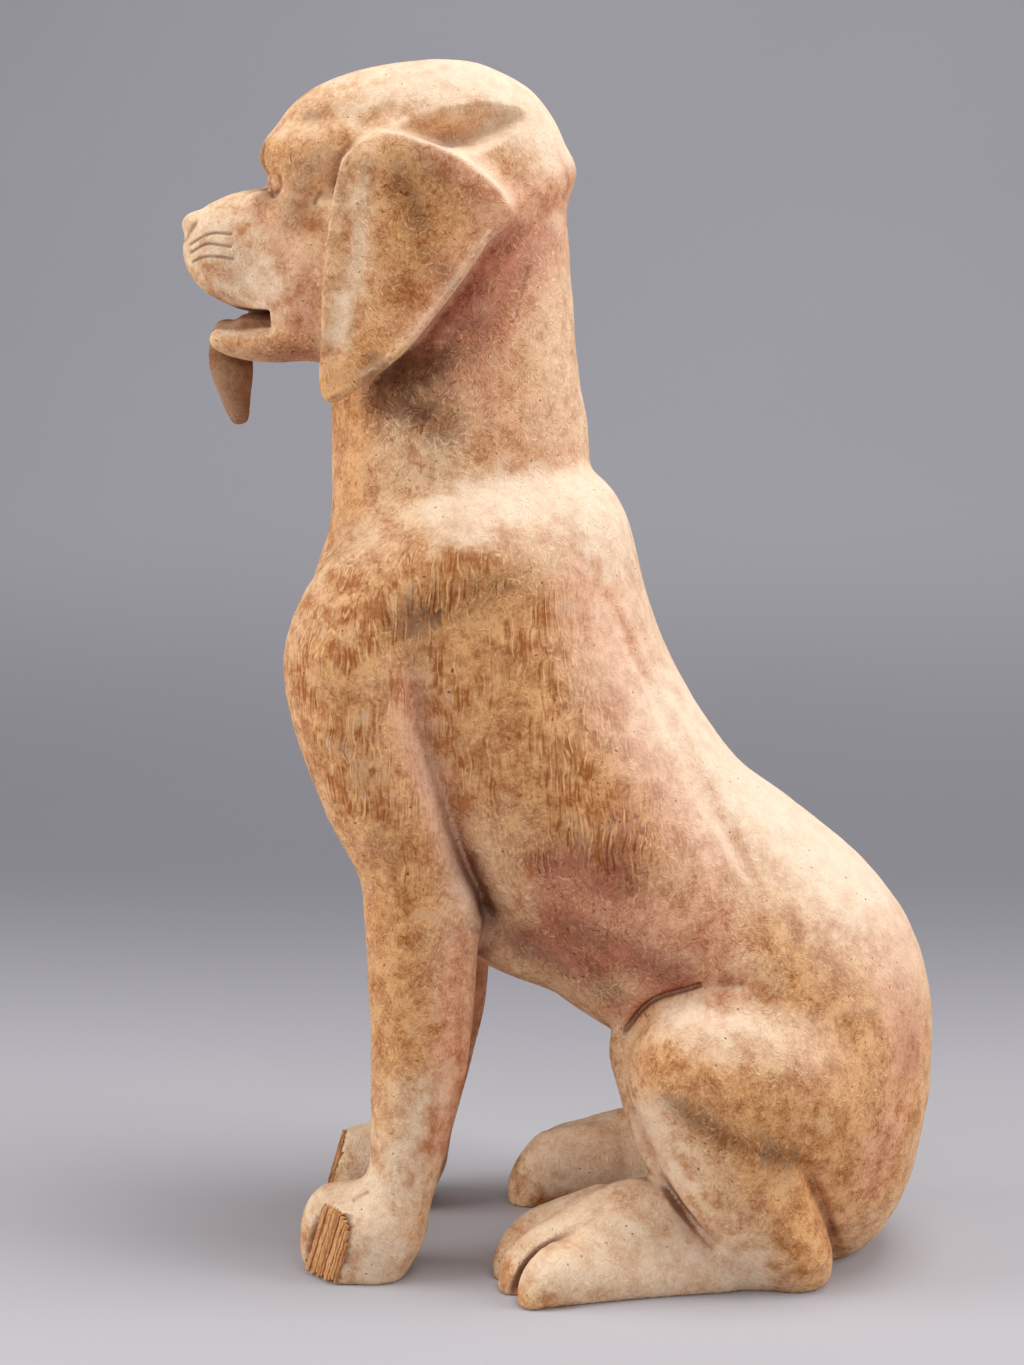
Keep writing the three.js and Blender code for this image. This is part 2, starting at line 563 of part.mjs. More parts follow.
// Build the block: trace, flatten the soles, thin, scale and centre over the feet
const scale = HEIGHT / DRAWN_HEIGHT;
const traced = trace(dogAt, [-150, -85, -GRID - 0.05], [152, 85, 455], GRID);
for (const p of traced.points) if (p[2] < 0.3) p[2] = 0;
const triangles = thin(traced, FACES);
const geometry = new THREE.BufferGeometry();
geometry.setAttribute("position", new THREE.Float32BufferAttribute(triangles.flat(2), 3));
geometry.scale(scale, scale, scale);
geometry.computeBoundingBox();
const middle = geometry.boundingBox.getCenter(new THREE.Vector3());
geometry.translate(-middle.x, -middle.y, 0);
geometry.computeVertexNormals();

const group = new THREE.Group();
const dog = new THREE.Mesh(geometry, new THREE.MeshStandardMaterial(WOOD));
dog.name = "carved_dog";
group.add(dog);
export default group;
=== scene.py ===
# %% [markdown]
# # A carved wooden dog
#
# The real object is one block of pale wood, cut into a sitting dog. This script dresses the
# plain model of it: a fine carved surface takes the place of the coarse one, two broken toes
# get their torn layers, and the wood gets its stains and fibres.
#
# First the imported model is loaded. Everything here is in its frame: metres, the dog looks along
# -X, its left side faces -Y, and it stands on z = 0.

# %% Load the frame
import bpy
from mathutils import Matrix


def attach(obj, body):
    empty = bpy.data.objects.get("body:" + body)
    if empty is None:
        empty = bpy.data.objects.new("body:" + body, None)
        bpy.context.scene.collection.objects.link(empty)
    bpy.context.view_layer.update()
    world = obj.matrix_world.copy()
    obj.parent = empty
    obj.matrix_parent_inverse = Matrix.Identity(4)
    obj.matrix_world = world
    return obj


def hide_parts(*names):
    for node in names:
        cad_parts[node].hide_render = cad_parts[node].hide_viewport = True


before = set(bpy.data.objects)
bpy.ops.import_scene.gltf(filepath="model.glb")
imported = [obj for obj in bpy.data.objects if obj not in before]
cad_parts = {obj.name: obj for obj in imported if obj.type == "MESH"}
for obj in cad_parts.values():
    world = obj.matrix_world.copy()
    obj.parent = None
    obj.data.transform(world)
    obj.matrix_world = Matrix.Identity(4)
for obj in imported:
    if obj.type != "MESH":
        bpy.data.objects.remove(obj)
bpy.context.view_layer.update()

# %% Tools
import bpy
import bmesh
import math
import numpy as np
import openvdb
from mathutils import Matrix, Vector

MM = 0.001
CENTRING = np.array([-1.9, 0.0, 0.0])  # mm, from the drawing's axis to the middle of the figure

# %% [markdown]
# ## Camera, floor and light
#
# The camera comes first, so that every later look is through it. It stands a little in front of
# the dog's left shoulder, 0.89 m away and 315 mm up, and looks slightly down. A lens is easiest
# to place by its own three directions: right, up and forward.

# %% Camera
PHOTO_HEIGHT = 1365  # pixels
FOCAL_LENGTH = 2348  # in pixels of the photo
HORIZON = 255.5  # pixels above the middle of the photo
DISTANCE, EYE_HEIGHT = 890, 315  # mm
turn = math.radians(3.5)
dip = math.atan(HORIZON / FOCAL_LENGTH)
right = Vector((math.cos(turn), math.sin(turn), 0))
level = Vector((-math.sin(turn), math.cos(turn), 0))
forward = level * math.cos(dip) + Vector((0, 0, -math.sin(dip)))
up = right.cross(forward)
aim = Vector((-17 + CENTRING[0], 0, 0))
eye = aim - level * DISTANCE + Vector((0, 0, EYE_HEIGHT))

lens = bpy.data.cameras.new("camera")
lens.sensor_fit = "VERTICAL"
lens.sensor_height = 36
lens.lens = lens.sensor_height * FOCAL_LENGTH / PHOTO_HEIGHT
camera = bpy.data.objects.new("camera", lens)
camera.matrix_world = Matrix.Translation(eye * MM) @ Matrix((right, up, -forward)).transposed().to_4x4()
bpy.context.scene.collection.objects.link(camera)
bpy.context.scene.camera = camera
print("camera at", [round(v, 3) for v in eye * MM], "lens", round(lens.lens, 1), "mm")

# %% [markdown]
# The floor is one sheet of grey paper that rises behind the dog in a wide curve, as in a photo
# studio, so that no horizon line shows. A few rows of points carry the curve.

# %% Floor that turns up into the backdrop
def paper_sweep(bend_start=0.75, bend=0.9, height=2.6, half_width=2.6):
    side_view = [(-2.2, 0.0), (bend_start, 0.0)]
    for step in range(1, 17):
        angle = math.pi / 2 * step / 16
        side_view.append((bend_start + bend * math.sin(angle), bend * (1 - math.cos(angle))))
    side_view.append((bend_start + bend, height))
    points = [(x, y, z) for y, z in side_view for x in (-half_width, half_width)]
    faces = [(2 * i, 2 * i + 1, 2 * i + 3, 2 * i + 2) for i in range(len(side_view) - 1)]
    mesh = bpy.data.meshes.new("paper_sweep")
    mesh.from_pydata(points, [], faces)
    mesh.polygons.foreach_set("use_smooth", [True] * len(mesh.polygons))
    sweep = bpy.data.objects.new("paper_sweep", mesh)
    bpy.context.scene.collection.objects.link(sweep)
    return sweep

floor = paper_sweep()

# %% [markdown]
# Shader nodes are wired with a few short helpers. Each one adds a node, plugs its inputs in and
# hands back the output, so a material reads from top to bottom like a recipe.

# %% Helpers for materials
class Nodes:
    """A node tree whose nodes are added and wired in one call each."""

    def __init__(self, tree):
        self.tree = tree

    def add(self, kind, inputs=(), output=0, **settings):
        node = self.tree.nodes.new(kind)
        for key, value in settings.items():
            setattr(node, key, value)
        for key, value in dict(inputs).items():
            self.plug(node.inputs[key], value)
        return node.outputs[output]

    def plug(self, socket, value):
        if isinstance(value, bpy.types.NodeSocket):
            self.tree.links.new(value, socket)
        else:
            socket.default_value = value


class Recipe(Nodes):
    """A material's node tree with one short call for each kind of node."""

    def __init__(self, name):
        self.material = bpy.data.materials.new(name)
        self.material.use_nodes = True
        super().__init__(self.material.node_tree)
        self.shader = self.tree.nodes["Principled BSDF"]

    def place(self):
        metres = self.add("ShaderNodeTexCoord", output="Object")
        return self.scale(metres, (1000, 1000, 1000))

    def scale(self, vector, by):
        return self.add("ShaderNodeVectorMath", {0: vector, 1: by}, operation="MULTIPLY")

    def shift(self, vector, by):
        return self.add("ShaderNodeVectorMath", {0: vector, 1: by}, operation="ADD")

    def math(self, operation, a, b=0.0, clamp=False):
        return self.add("ShaderNodeMath", {0: a, 1: b}, operation=operation, use_clamp=clamp)

    def noise(self, vector, size, detail=2.0, rough=0.5, output=0):
        return self.add("ShaderNodeTexNoise",
            {"Vector": vector, "Scale": 1 / size, "Detail": detail, "Roughness": rough}, output)

    def band(self, value, low, high, to_low=0.0, to_high=1.0):
        return self.add("ShaderNodeMapRange", {"Value": value, "From Min": low, "From Max": high,
            "To Min": to_low, "To Max": to_high}, interpolation_type="SMOOTHSTEP")

    def mix(self, share, a, b):
        return self.add("ShaderNodeMix", {0: share, 6: a, 7: b}, output=2, data_type="RGBA")

    def choose(self, share, a, b):
        return self.add("ShaderNodeMix", {0: share, 2: a, 3: b}, data_type="FLOAT")

    def around_half(self, value, times):
        return self.math("MULTIPLY", self.math("SUBTRACT", value, 0.5), times)

    def wander(self, vector, size, reach):
        """A slow random shift, up to half of reach each way."""
        shift = self.shift(self.noise(vector, size, 1, output="Color"), (-0.5, -0.5, -0.5))
        return self.scale(shift, (reach,) * 3)

    def painted(self, name):
        return self.add("ShaderNodeAttribute", output="Fac", attribute_name=name)

    def bump(self, height, strength, metres):
        self.plug(self.shader.inputs["Normal"], self.add("ShaderNodeBump",
            {"Height": height, "Strength": strength, "Distance": metres}, output="Normal"))


def paint(red, green, blue):
    """A colour as a paint card gives it, 0 to 255, turned into the linear light that shaders use."""
    linear = [((v / 255 + 0.055) / 1.055) ** 2.4 if v > 10 else v / 255 / 12.92 for v in (red, green, blue)]
    return (*linear, 1.0)

# %% Paper for the floor
paper = Recipe("grey_paper")
where = paper.place()
cloud = paper.noise(where, 420, 2)
away = paper.add("ShaderNodeSeparateXYZ", {0: where}, "Y")
height = paper.add("ShaderNodeSeparateXYZ", {0: where}, "Z")
# Painted light falloff: the floor is painted darker towards the back and the wall a little lighter towards
# the top.
floor_painted_falloff = paper.mix(paper.band(away, -60, 700), paint(188, 187, 193), paint(148, 147, 154))
wall_painted_falloff = paper.mix(paper.band(height, 60, 800), paint(172, 171, 178), paint(176, 175, 182))
tint = paper.mix(paper.band(height, 0, 240), floor_painted_falloff, wall_painted_falloff)
clouded = paper.mix(paper.math("MULTIPLY", cloud, 0.16), tint, paint(120, 119, 126))
paper.plug(paper.shader.inputs["Base Color"], clouded)
paper.shader.inputs["Roughness"].default_value = 0.95
paper.shader.inputs["Specular IOR Level"].default_value = 0.1
floor.data.materials.append(paper.material)

# %% [markdown]
# Soft light comes from four large panels: one above, which lights the head and the back, one at
# each side, and a weak one beside the camera. Large panels give the soft shadows of a photo
# studio. A pale sky fills what is left.

# %% Lights
def panel(name, at, towards, size, power, tint=(1, 1, 1)):
    light = bpy.data.lights.new(name, "AREA")
    light.shape = "RECTANGLE"
    light.size, light.size_y = size
    light.energy = power
    light.color = tint
    lamp = bpy.data.objects.new(name, light)
    lamp.location = at
    lamp.rotation_euler = (Vector(towards) - Vector(at)).to_track_quat("-Z", "Y").to_euler()
    bpy.context.scene.collection.objects.link(lamp)

panel("top_panel", (0.35, -0.1, 1.75), (0, 0, 0.2), (0.8, 0.8), 16.5, (1, 0.985, 0.96))
panel("right_panel", (1.35, -0.25, 0.8), (0, 0, 0.2), (0.7, 1.2), 13, (1, 0.985, 0.96))
panel("left_panel", (-1.3, -0.3, 0.75), (0, 0, 0.22), (0.9, 1.2), 16, (1, 0.99, 0.97))
panel("front_panel", (0.2, -1.8, 0.9), (0, 0, 0.2), (1.4, 1.2), 6)
world = bpy.data.worlds.new("sky")
world.use_nodes = True
world.node_tree.nodes["Background"].inputs["Color"].default_value = (0.80, 0.81, 0.86, 1)
world.node_tree.nodes["Background"].inputs["Strength"].default_value = 0.24
bpy.context.scene.world = world
bpy.context.scene.view_settings.view_transform = "Standard"

# %% [markdown]
# ## The carved body
#
# A carver sees rounded masses first: barrel, neck, thighs, skull. Here each mass is a *distance
# field*, a function that says how far a point is from the mass, negative inside the wood. Fields
# join with soft seams, and cuts take wood away, so the code works the way the chisel does. A mesh
# made by pushing vertices about could reach the same form, but every seam between two masses
# would have to be sewn by hand.
#
# Lengths are in millimetres. A station is [x, y, z, half depth, half width].

# %% Stations of the body and legs
NECK = [[-39.5, 0, 384.5, 43.6, 34.5], [-39, 0, 351, 45.4, 36.5], [-38, 0, 325, 47, 37.5],
    [-36.5, 0, 306.5, 48.5, 39], [-36.5, 0, 287.5, 49, 40.5], [-33.5, 0, 265, 54, 44]]
TRUNK = [[-31.5, 0, 257, 57, 52], [-25.5, 0, 241.5, 59.5, 58], [-14.5, 0, 210.5, 60, 60],
    [4.5, 0, 177.5, 59, 60], [30.5, 0, 149, 56, 58], [59.5, 0, 126.5, 56, 57], [81.5, 0, 102, 59, 59],
    [87.5, 0, 74.5, 56, 61], [93, 0, 47, 46.5, 52], [101.5, 0, 26, 30, 37]]
BELLY = [[-36.5, 0, 136.5, 14, 26], [-22.5, 0, 124.5, 14, 32], [-8.5, 0, 118.5, 14, 36],
    [6, 0, 117, 14, 38], [21, 0, 107.5, 14, 38]]
FORELEG = [[-59.5, -31, 250.5, 29, 26], [-68, -34, 231.5, 30.5, 28], [-68.5, -36, 211, 27, 27],
    [-59.5, -38, 182, 25, 24], [-51.5, -39, 156.5, 20.5, 20], [-48, -40, 136, 21, 18],
    [-48, -40.5, 111.5, 19.8, 17], [-48.5, -41, 85.5, 18.2, 16], [-51.5, -41, 62.5, 15.8, 15],
    [-54.5, -41, 41.5, 13.4, 14.5], [-59.5, -41, 22, 12.5, 15]]
INNER_THIGH = [[37, -32, 100.5, 12, 10], [32.5, -34, 86.5, 11, 9], [34.5, -35, 75.5, 11, 9],
    [38.5, -38, 59.5, 10, 10], [46, -40, 41, 9, 10]]
SHIN = [[55, -48, 76, 22, 22], [68, -48, 46, 25, 22], [83.5, -45, 22.5, 19.5, 19.5],
    [90, -43, 12.5, 16, 16]]
FOOT = [[90, -42, 10, 15.5, 14], [70.5, -41, 10.5, 16, 15], [51.5, -43, 15.5, 18.5, 16.5],
    [35, -46, 19, 20, 17], [20.5, -49, 17, 18, 17], [5.5, -52, 11.5, 13, 18]]
HIND_TOES = [
    [[20, -39, 20.5, 14, 9.5], [5, -40, 16.5, 12.8, 9.5], [-4, -41, 13, 12, 9.5],
        [-10.5, -42, 7, 10.2, 9], [-12.5, -42.5, 2, 9, 8.5]],
    [[20, -50, 19.5, 14, 10], [8, -53, 16.5, 12.2, 10], [-1, -54.5, 12.5, 11, 10],
        [-8, -55.5, 8, 9.6, 9.5], [-11.5, -56, 3, 7.2, 8.5]],
    [[62.5, -49, 9, 12, 10], [39, -54, 8, 12, 10], [15.5, -62, 9.5, 13, 10], [5, -67, 10, 12.2, 9.5],
        [-2, -69, 6.5, 8.4, 9], [-5, -70, 2.5, 5.8, 8]],
]
print("stations:", sum(len(t) for t in (NECK, TRUNK, BELLY, FORELEG, SHIN, FOOT)))

# %% [markdown]
# The head is drawn looking straight ahead and then turned five degrees to its left.

# %% Stations of the head
BROW = [[-102, 0, 415.5, 8.5, 7.5], [-101.2, -10, 414.5, 8.8, 7.8], [-98.3, -19.5, 413, 9, 8],
    [-88.5, -24.5, 414, 7.5, 7], [-77, -28, 417.5, 5, 6]]
MUZZLE = [[-94, 0, 380, 24.5, 27], [-110.5, 0, 380, 22.6, 22], [-120, 0, 380.5, 19.5, 18.5],
    [-124.5, 0, 380.5, 14.5, 15.5]]
BRIDGE = [[-103.5, 0, 397, 6, 8], [-120.5, 0, 392.5, 7, 9], [-133, 0, 389.5, 5, 8]]
JAW = [[-88.5, 0, 350, 9.5, 24], [-108, 0, 346, 6.8, 18.5], [-120, 0, 346.5, 5.8, 13],
    [-126, 0, 347.5, 4.2, 9]]
TONGUE_ROOT = [[-102, 0, 352, 5, 9], [-113.5, 0, 353.5, 4.5, 9.5], [-119, 2, 352, 3.6, 9],
    [-123.5, 6, 351.5, 3.6, 7]]
TONGUE_TIP = [[-123.5, 7, 352, 5.5, 3.4], [-124.5, 12, 347, 7.2, 3.6], [-123.5, 13, 338.5, 8.2, 4],
    [-122, 12, 327, 6, 3.6], [-120.5, 11, 319, 3.4, 2.8]]
NAPE = [[-26, -31, 388.5, 5, 5], [-19, -28.5, 394, 5, 5], [-10.5, -22, 400, 5, 5],
    [-3.5, -13, 406, 5.5, 5.5], [0, 0, 409.5, 5.5, 5.5]]
EAR = [[-76.5, 412], [-80, 404.5], [-83, 389.5], [-85, 370.5], [-86.5, 346], [-87, 331],
    [-85, 324.5], [-80.5, 324], [-72, 329.5], [-58, 340], [-45.5, 354.5], [-34.5, 368.5],
    [-27, 380.5], [-19, 387.5], [-18, 393], [-23, 400], [-31.5, 407.5], [-44.5, 414.5], [-63, 419]]

# %% [markdown]
# A smooth curve runs through every row of stations: between two of them it leans on their
# neighbours, so the limb has no corner.

# %% Smooth curve through points
def smooth_path(points, steps, closed=False):
    p = np.asarray(points, float)
    if closed:
        p = np.vstack([p[-1], p, p[0], p[1]])
    else:
        p = np.vstack([2 * p[0] - p[1], p, 2 * p[-1] - p[-2]])
    found = []
    for a, b, c, d in zip(p, p[1:], p[2:], p[3:]):
        lean_b, lean_c = (c - a) / 2, (d - b) / 2
        for t in np.arange(steps) / steps:
            found.append((2 * t**3 - 3 * t**2 + 1) * b + (t**3 - 2 * t**2 + t) * lean_b
                + (3 * t**2 - 2 * t**3) * c + (t**3 - t**2) * lean_c)
    if not closed:
        found.append(p[-2])
    return np.array(found)

# %% [markdown]
# Two masses meet in a soft seam: where their distances are nearly equal, a little wood is added.
# A cut is the same seam turned inside out, and a groove sinks the surface along a line, as one
# stroke of a gouge does.

# %% Seams, cuts and grooves
FAR = 60.0  # mm, the answer for a point so far away that its exact distance doesn't matter
NEAR = 16.0  # mm, how far outside a mass its distance is still worked out

def blend(a, b, seam):
    h = np.maximum(seam - np.abs(a - b), 0) / seam
    return np.minimum(a, b) - h * h * seam / 4

def cut(a, b, seam):
    return -blend(-a, b, seam)

def groove(distance, width, depth):
    return depth * np.exp(-((distance / width) ** 2))

def ease(value, low, high):
    return np.clip((value - low) / (high - low), 0, 1)

# %% [markdown]
# The two kinds of mass are a ball, stretched in three directions, and a limb, an oval swept along
# its stations. A power above 2 makes the ball squarer. Points that are far away are skipped,
# because only the distance near the surface matters.

# %% Rounded mass
def close_to(p, low, high):
    return np.flatnonzero(np.all((p > np.asarray(low) - NEAR) & (p < np.asarray(high) + NEAR), axis=1))

def ball(centre, half, pitch=0, power=2):
    centre, half = np.asarray(centre, float), np.asarray(half, float)
    c, s = math.cos(math.radians(pitch)), math.sin(math.radians(pitch))
    reach = half.max() if pitch else half

    def distance(p):
        found = np.full(len(p), FAR)
        some = close_to(p, centre - reach, centre + reach)
        q = p[some] - centre
        q = np.stack([q[:, 0] * c + q[:, 2] * s, q[:, 1], q[:, 2] * c - q[:, 0] * s], 1) / half
        near = np.maximum((np.abs(q) ** power).sum(1) ** (1 / power), 1e-6)
        slope = np.sqrt((((np.abs(q) / near[:, None]) ** (power - 1) / half) ** 2).sum(1))
        found[some] = (near - 1) / slope
        return found
    return distance

# %% Limb: an ellipse swept along its stations
def limb(stations, steps=4):
    path = smooth_path(stations, steps)
    at, size = path[:, :3], path[:, 3:]
    pieces = []
    for i in range(len(at) - 1):
        span = at[i + 1] - at[i]
        length = np.linalg.norm(span)
        along = span / length
        side = np.array([0, 1.0, 0]) - along * along[1]
        side /= np.linalg.norm(side)
        reach = size[i:i + 2].max() + length / 2
        pieces.append((at[i], along, side, np.cross(along, side), size[i], size[i + 1], length,
            (at[i] + at[i + 1]) / 2, reach))
    low = (at - size.max(1)[:, None]).min(0)
    high = (at + size.max(1)[:, None]).max(0)

    def distance(p):
        found = np.full(len(p), FAR)
        some = close_to(p, low, high)
        q, best = p[some], np.full(len(some), FAR)
        for start, along, side, front, size_a, size_b, length, middle, reach in pieces:
            part = np.flatnonzero(((q - middle) ** 2).sum(1) < (reach + NEAR) ** 2)
            r = q[part] - start
            run = r @ along
            t = np.clip(run / length, 0, 1)
            deep = size_a[0] + (size_b[0] - size_a[0]) * t
            wide = size_a[1] + (size_b[1] - size_a[1]) * t
            thin = np.minimum(deep, wide)
            u, v, w = (r @ front) / deep, (r @ side) / wide, (run - t * length) / thin
            near = np.sqrt(u * u + v * v + w * w)
            slope = np.sqrt((u / deep) ** 2 + (v / wide) ** 2 + (w / thin) ** 2)
            d = np.where(slope < 1e-6, -thin, near * (near - 1) / np.maximum(slope, 1e-6))
            best[part] = np.minimum(best[part], d)
        found[some] = best
        return found
    return distance

# %% [markdown]
# Lines place the creases, the knife cuts and the stains. The ears are boards of wood cut to the
# shape of a leaf, so they need an outline seen from the side, and flat planes take away the
# temples and the broken toes.

# %% Distance to a line, to an outline seen from the side, and to a plane
def line(points, steps=3, within=24.0):
    flat = len(points[0]) == 2
    at = smooth_path([[p[0], 0, p[-1]] if flat else p for p in points], steps)
    low, high = at.min(0) - within, at.max(0) + within

    def distance(p):
        q = p * [1, 0, 1] if flat else p
        found = np.full(len(q), FAR)
        some = np.flatnonzero(np.all((q > low) & (q < high), axis=1))
        q, best = q[some], np.full(len(some), FAR)
        for a, b in zip(at, at[1:]):
            span = b - a
            t = np.clip((q - a) @ span / (span @ span), 0, 1)
            best = np.minimum(best, np.sqrt(((q - a - t[:, None] * span) ** 2).sum(1)))
        found[some] = best
        return found
    return distance

def leaf(points, steps=3):
    edge = smooth_path(points, steps, closed=True)
    low, high = edge.min(0) - NEAR, edge.max(0) + NEAR

    def distance(x, z):
        found = np.full(len(x), FAR)
        some = np.flatnonzero((x > low[0]) & (x < high[0]) & (z > low[1]) & (z < high[1]))
        q, best = np.stack([x[some], z[some]], 1), np.full(len(some), FAR)
        inside = np.zeros(len(some), bool)
        for a, b in zip(edge, np.roll(edge, 1, axis=0)):
            span = b - a
            t = np.clip((q - a) @ span / (span @ span), 0, 1)
            best = np.minimum(best, np.sqrt(((q - a - t[:, None] * span) ** 2).sum(1)))
            crosses = (a[1] > q[:, 1]) != (b[1] > q[:, 1])
            inside ^= crosses & (q[:, 0] < span[0] * (q[:, 1] - a[1]) / (span[1] or 1e-9) + a[0])
        found[some] = np.where(inside, -best, best)
        return found
    return distance

def plane(point, facing):
    point, normal = np.asarray(point, float), np.asarray(facing, float) / np.linalg.norm(facing)

    def distance(p):
        return (p - point) @ normal
    distance.normal = normal
    return distance

# %% [markdown]
# The masses of the head. Ears, brows and eyes are the same on both sides, so they are written
# once, for the left side, and read with the point's y folded over to the left. Each eye is a ball
# set into a hollow, and two planes cut the temple away between the brow and the cheek.

# %% Head
skull = ball([-40, 0, 406.5], [44.6, 36.5, 43.5])
forehead = ball([-76, 0, 414], [30.5, 30, 29])
crown = ball([-58, 0, 415.5], [36, 33, 32])
brow, muzzle, bridge, jaw = limb(BROW, 3), limb(MUZZLE), limb(BRIDGE, 2), limb(JAW)
cheek = ball([-91, 0, 366], [23, 30, 25])
nose = ball([-134, 0, 390], [6, 8.5, 5])
jowl = ball([-65, 0, 361], [25, 37.5, 31], power=3)
socket = ball([-111.5, -11.8, 409.8], [8, 7.3, 9.2])
eyeball = ball([-101.2, -12.2, 404], [6, 6, 6.5])
eye_corner = ball([-95.5, -17.5, 401.5], [6.4, 6, 9])
nose_root = ball([-109.5, -11, 395], [6, 8.5, 7])
eye_bag = ball([-98.5, -17.5, 391.5], [8.5, 8.5, 7])
brow_side = ball([-91, -21, 408], [11.5, 10.3, 10])
temple_pad = ball([-77, 0, 395], [17, 30, 15])
under_brow = plane([-77, -32.6, 413.5], [0.27, -0.746, -0.591])
over_cheek = plane([-80, -25, 399.5], [-0.3, -0.55, 0.8])
behind_eye = plane([-96, 0, 0], [1, 0, 0])
nape = limb(NAPE)
tongue_root, tongue_tip = limb(TONGUE_ROOT, 3), limb(TONGUE_TIP)
ear_outline = leaf(EAR)
ear_relief = [
    (line([[-70, 409.5], [-72, 386], [-74.5, 360], [-78, 334.5]]), 5, 1.8),
    (line([[-67.5, 411], [-58, 413], [-45, 410], [-33, 402.5], [-24, 393]]), 6, 1.5),
    (line([[-49, 396.5], [-54.5, 381], [-58, 360]]), 12, -4),
    (line([[-76.5, 395], [-78, 367], [-81, 342.5]]), 3.5, -1),
]

ear_rim = line([[-80, 326], [-70, 331.5], [-56, 342.5], [-43.5, 357], [-33, 371], [-25, 383]])
ear_valley = line([[-72, 423], [-55, 424.5], [-38, 419.5], [-24, 410], [-14, 398]])

def ear_at(p):
    side = ear_outline(p[:, 0], p[:, 2])
    outer = 42.5 + 5.5 * ease(-p[:, 2], -415, -325) + groove(ear_rim(p), 3.2, 1.6)
    for near, width, rise in ear_relief:
        outer = outer + groove(near(p), width, rise)
    slab = np.maximum(-p[:, 1] - outer, 40.5 - 13.5 * ease(p[:, 2], 332, 358) + p[:, 1])
    soft = 1.7 + 1.3 * ease(-p[:, 2], -350, -330)
    over = np.hypot(np.maximum(side + soft, 0), np.maximum(slab + soft, 0))
    return over + np.minimum(np.maximum(side, slab) + soft, 0) - soft

HEAD_TURN, HEAD_PIVOT = math.radians(5), -35

def into_head(p):
    c, s = math.cos(HEAD_TURN), math.sin(HEAD_TURN)
    x = HEAD_PIVOT + (p[:, 0] - HEAD_PIVOT) * c + p[:, 1] * s
    return np.stack([x, p[:, 1] * c - (p[:, 0] - HEAD_PIVOT) * s, p[:, 2]], 1)

def head_at(p):
    p = into_head(p)
    left = p * [1, 0, 1] - np.abs(p) * [0, 1, 0]
    d = blend(blend(skull(p), forehead(p), 12), crown(p), 8)
    d = blend(d, nape(left), 7)
    d = blend(blend(d, brow(left), 6), brow_side(left), 5)
    d += ease(-left[:, 1], 12, 26) * groove(ear_valley(p), 6, 0.9)
    face = blend(blend(blend(muzzle(p), bridge(p), 3), cheek(p), 10), jowl(p), 8)
    d = blend(blend(blend(d, temple_pad(p), 5), face, 6), jaw(p), 3)
    d = blend(d, nose(p), 1.5)
    d = blend(cut(d, socket(left), 1.2), nose_root(left), 3)
    d = blend(d, eye_corner(left), 2.5)
    d = blend(d, eye_bag(left), 4)
    temple = cut(cut(-under_brow(left), over_cheek(left), 5), behind_eye(left), 6)
    d = cut(d, np.where((left[:, 1] < -10) & (left[:, 2] > 380), temple, FAR), 0.6)
    d = blend(d, eyeball(left), 0.3)
    mouth = np.maximum(p[:, 0] + 106.2, np.abs(p[:, 2] - 354.6 + 0.06 * (p[:, 0] + 106)) - 3.2)
    d = cut(d, mouth, 1)
    d = blend(d, tongue_root(p), 1)
    d = blend(d, tongue_tip(p), 1.5)
    return blend(d, ear_at(left), 0.7 + 8.3 * ease(p[:, 2], 385, 410) * ease(p[:, 0], -81, -66))

# %% [markdown]
# Body, legs and feet. The left front paw has lost its middle toe and the right one its toe tips:
# a plane cuts each of them off.

# %% Body and legs
neck, trunk, belly, foreleg = limb(NECK, 5), limb(TRUNK, 6), limb(BELLY), limb(FORELEG, 6)
yoke = ball([-30, 0, 261.5], [56, 56.5, 39], 4)
withers = ball([3, 0, 273.5], [22.5, 38, 26])
breast = ball([-62, 0, 225.5], [37.5, 46, 48])
elbow = ball([-33, -42, 139], [7.5, 12, 12])
heel_pad = ball([-66, -40, 12], [13.5, 14, 14])
inner_toes = ball([-79.5, -37, 12], [15, 12, 20.5], power=2.3)
outer_toes = ball([-71, -44, 11], [17.5, 13.2, 18], power=2.8)
thigh = ball([74, -40, 74], [42, 33, 40])
knee = ball([50.5, -48, 83], [20.5, 23, 23])
inner_thigh, shin, foot = limb(INNER_THIGH), limb(SHIN), limb(FOOT)
hind_toes = [limb(toe) for toe in HIND_TOES]
toe_seams = [
    line([[8.8, -50.5, 32.8], [1.2, -50.5, 29.6], [-7.9, -50.5, 22], [-16.9, -50.5, 12], [-20, -50, 2]]),
    line([[12.9, -63.5, 27.2], [5.3, -63.5, 22], [-1, -63.5, 17.5], [-7.2, -63.5, 11], [-12, -63.5, 2]]),
]
armpit = line([[-54, 236], [-46, 204], [-36.5, 171.5], [-30, 152.5], [-25, 139.5]])
spine_side = line([[21, -40, 253], [37.5, -42, 218.5], [56, -42, 184], [76, -42, 151]])
creases = [
    (line([[28.5, 95], [38, 107], [54.5, 114.5], [69.5, 116]]), 2.5, 2.5),
    (line([[90.5, 52.5], [96.5, 39.5], [104, 16], [107.5, 2.5]]), 2.5, 2.5),
    (line([[31.5, 64.5], [39.5, 45], [51.5, 27.5], [60, 18]]), 2, 1.6),
]
near_break = plane([-84.6, -50.6, 0], [-0.7, -0.68, 0.12])
far_break = plane([-99.3, 60.9, 0], [-0.95, -0.12, 0.28])
break_inner = plane([-88.6, -39.6, 0], [0.68, -0.72, -0.3])

def foreleg_at(p, left):
    d = foreleg(left)
    on_left = p[:, 1] < 0
    paw = blend(heel_pad(left), blend(inner_toes(left), outer_toes(left), 3), 6)
    d = blend(d, paw, 13)
    gone = np.maximum(-near_break(p), -break_inner(p))
    d = np.where(on_left & (p[:, 2] < 60), cut(d, gone, 0.5), d)
    d = np.where(~on_left & (p[:, 2] < 70), np.maximum(d, far_break(p)), d)
    return blend(d, elbow(left), 6)

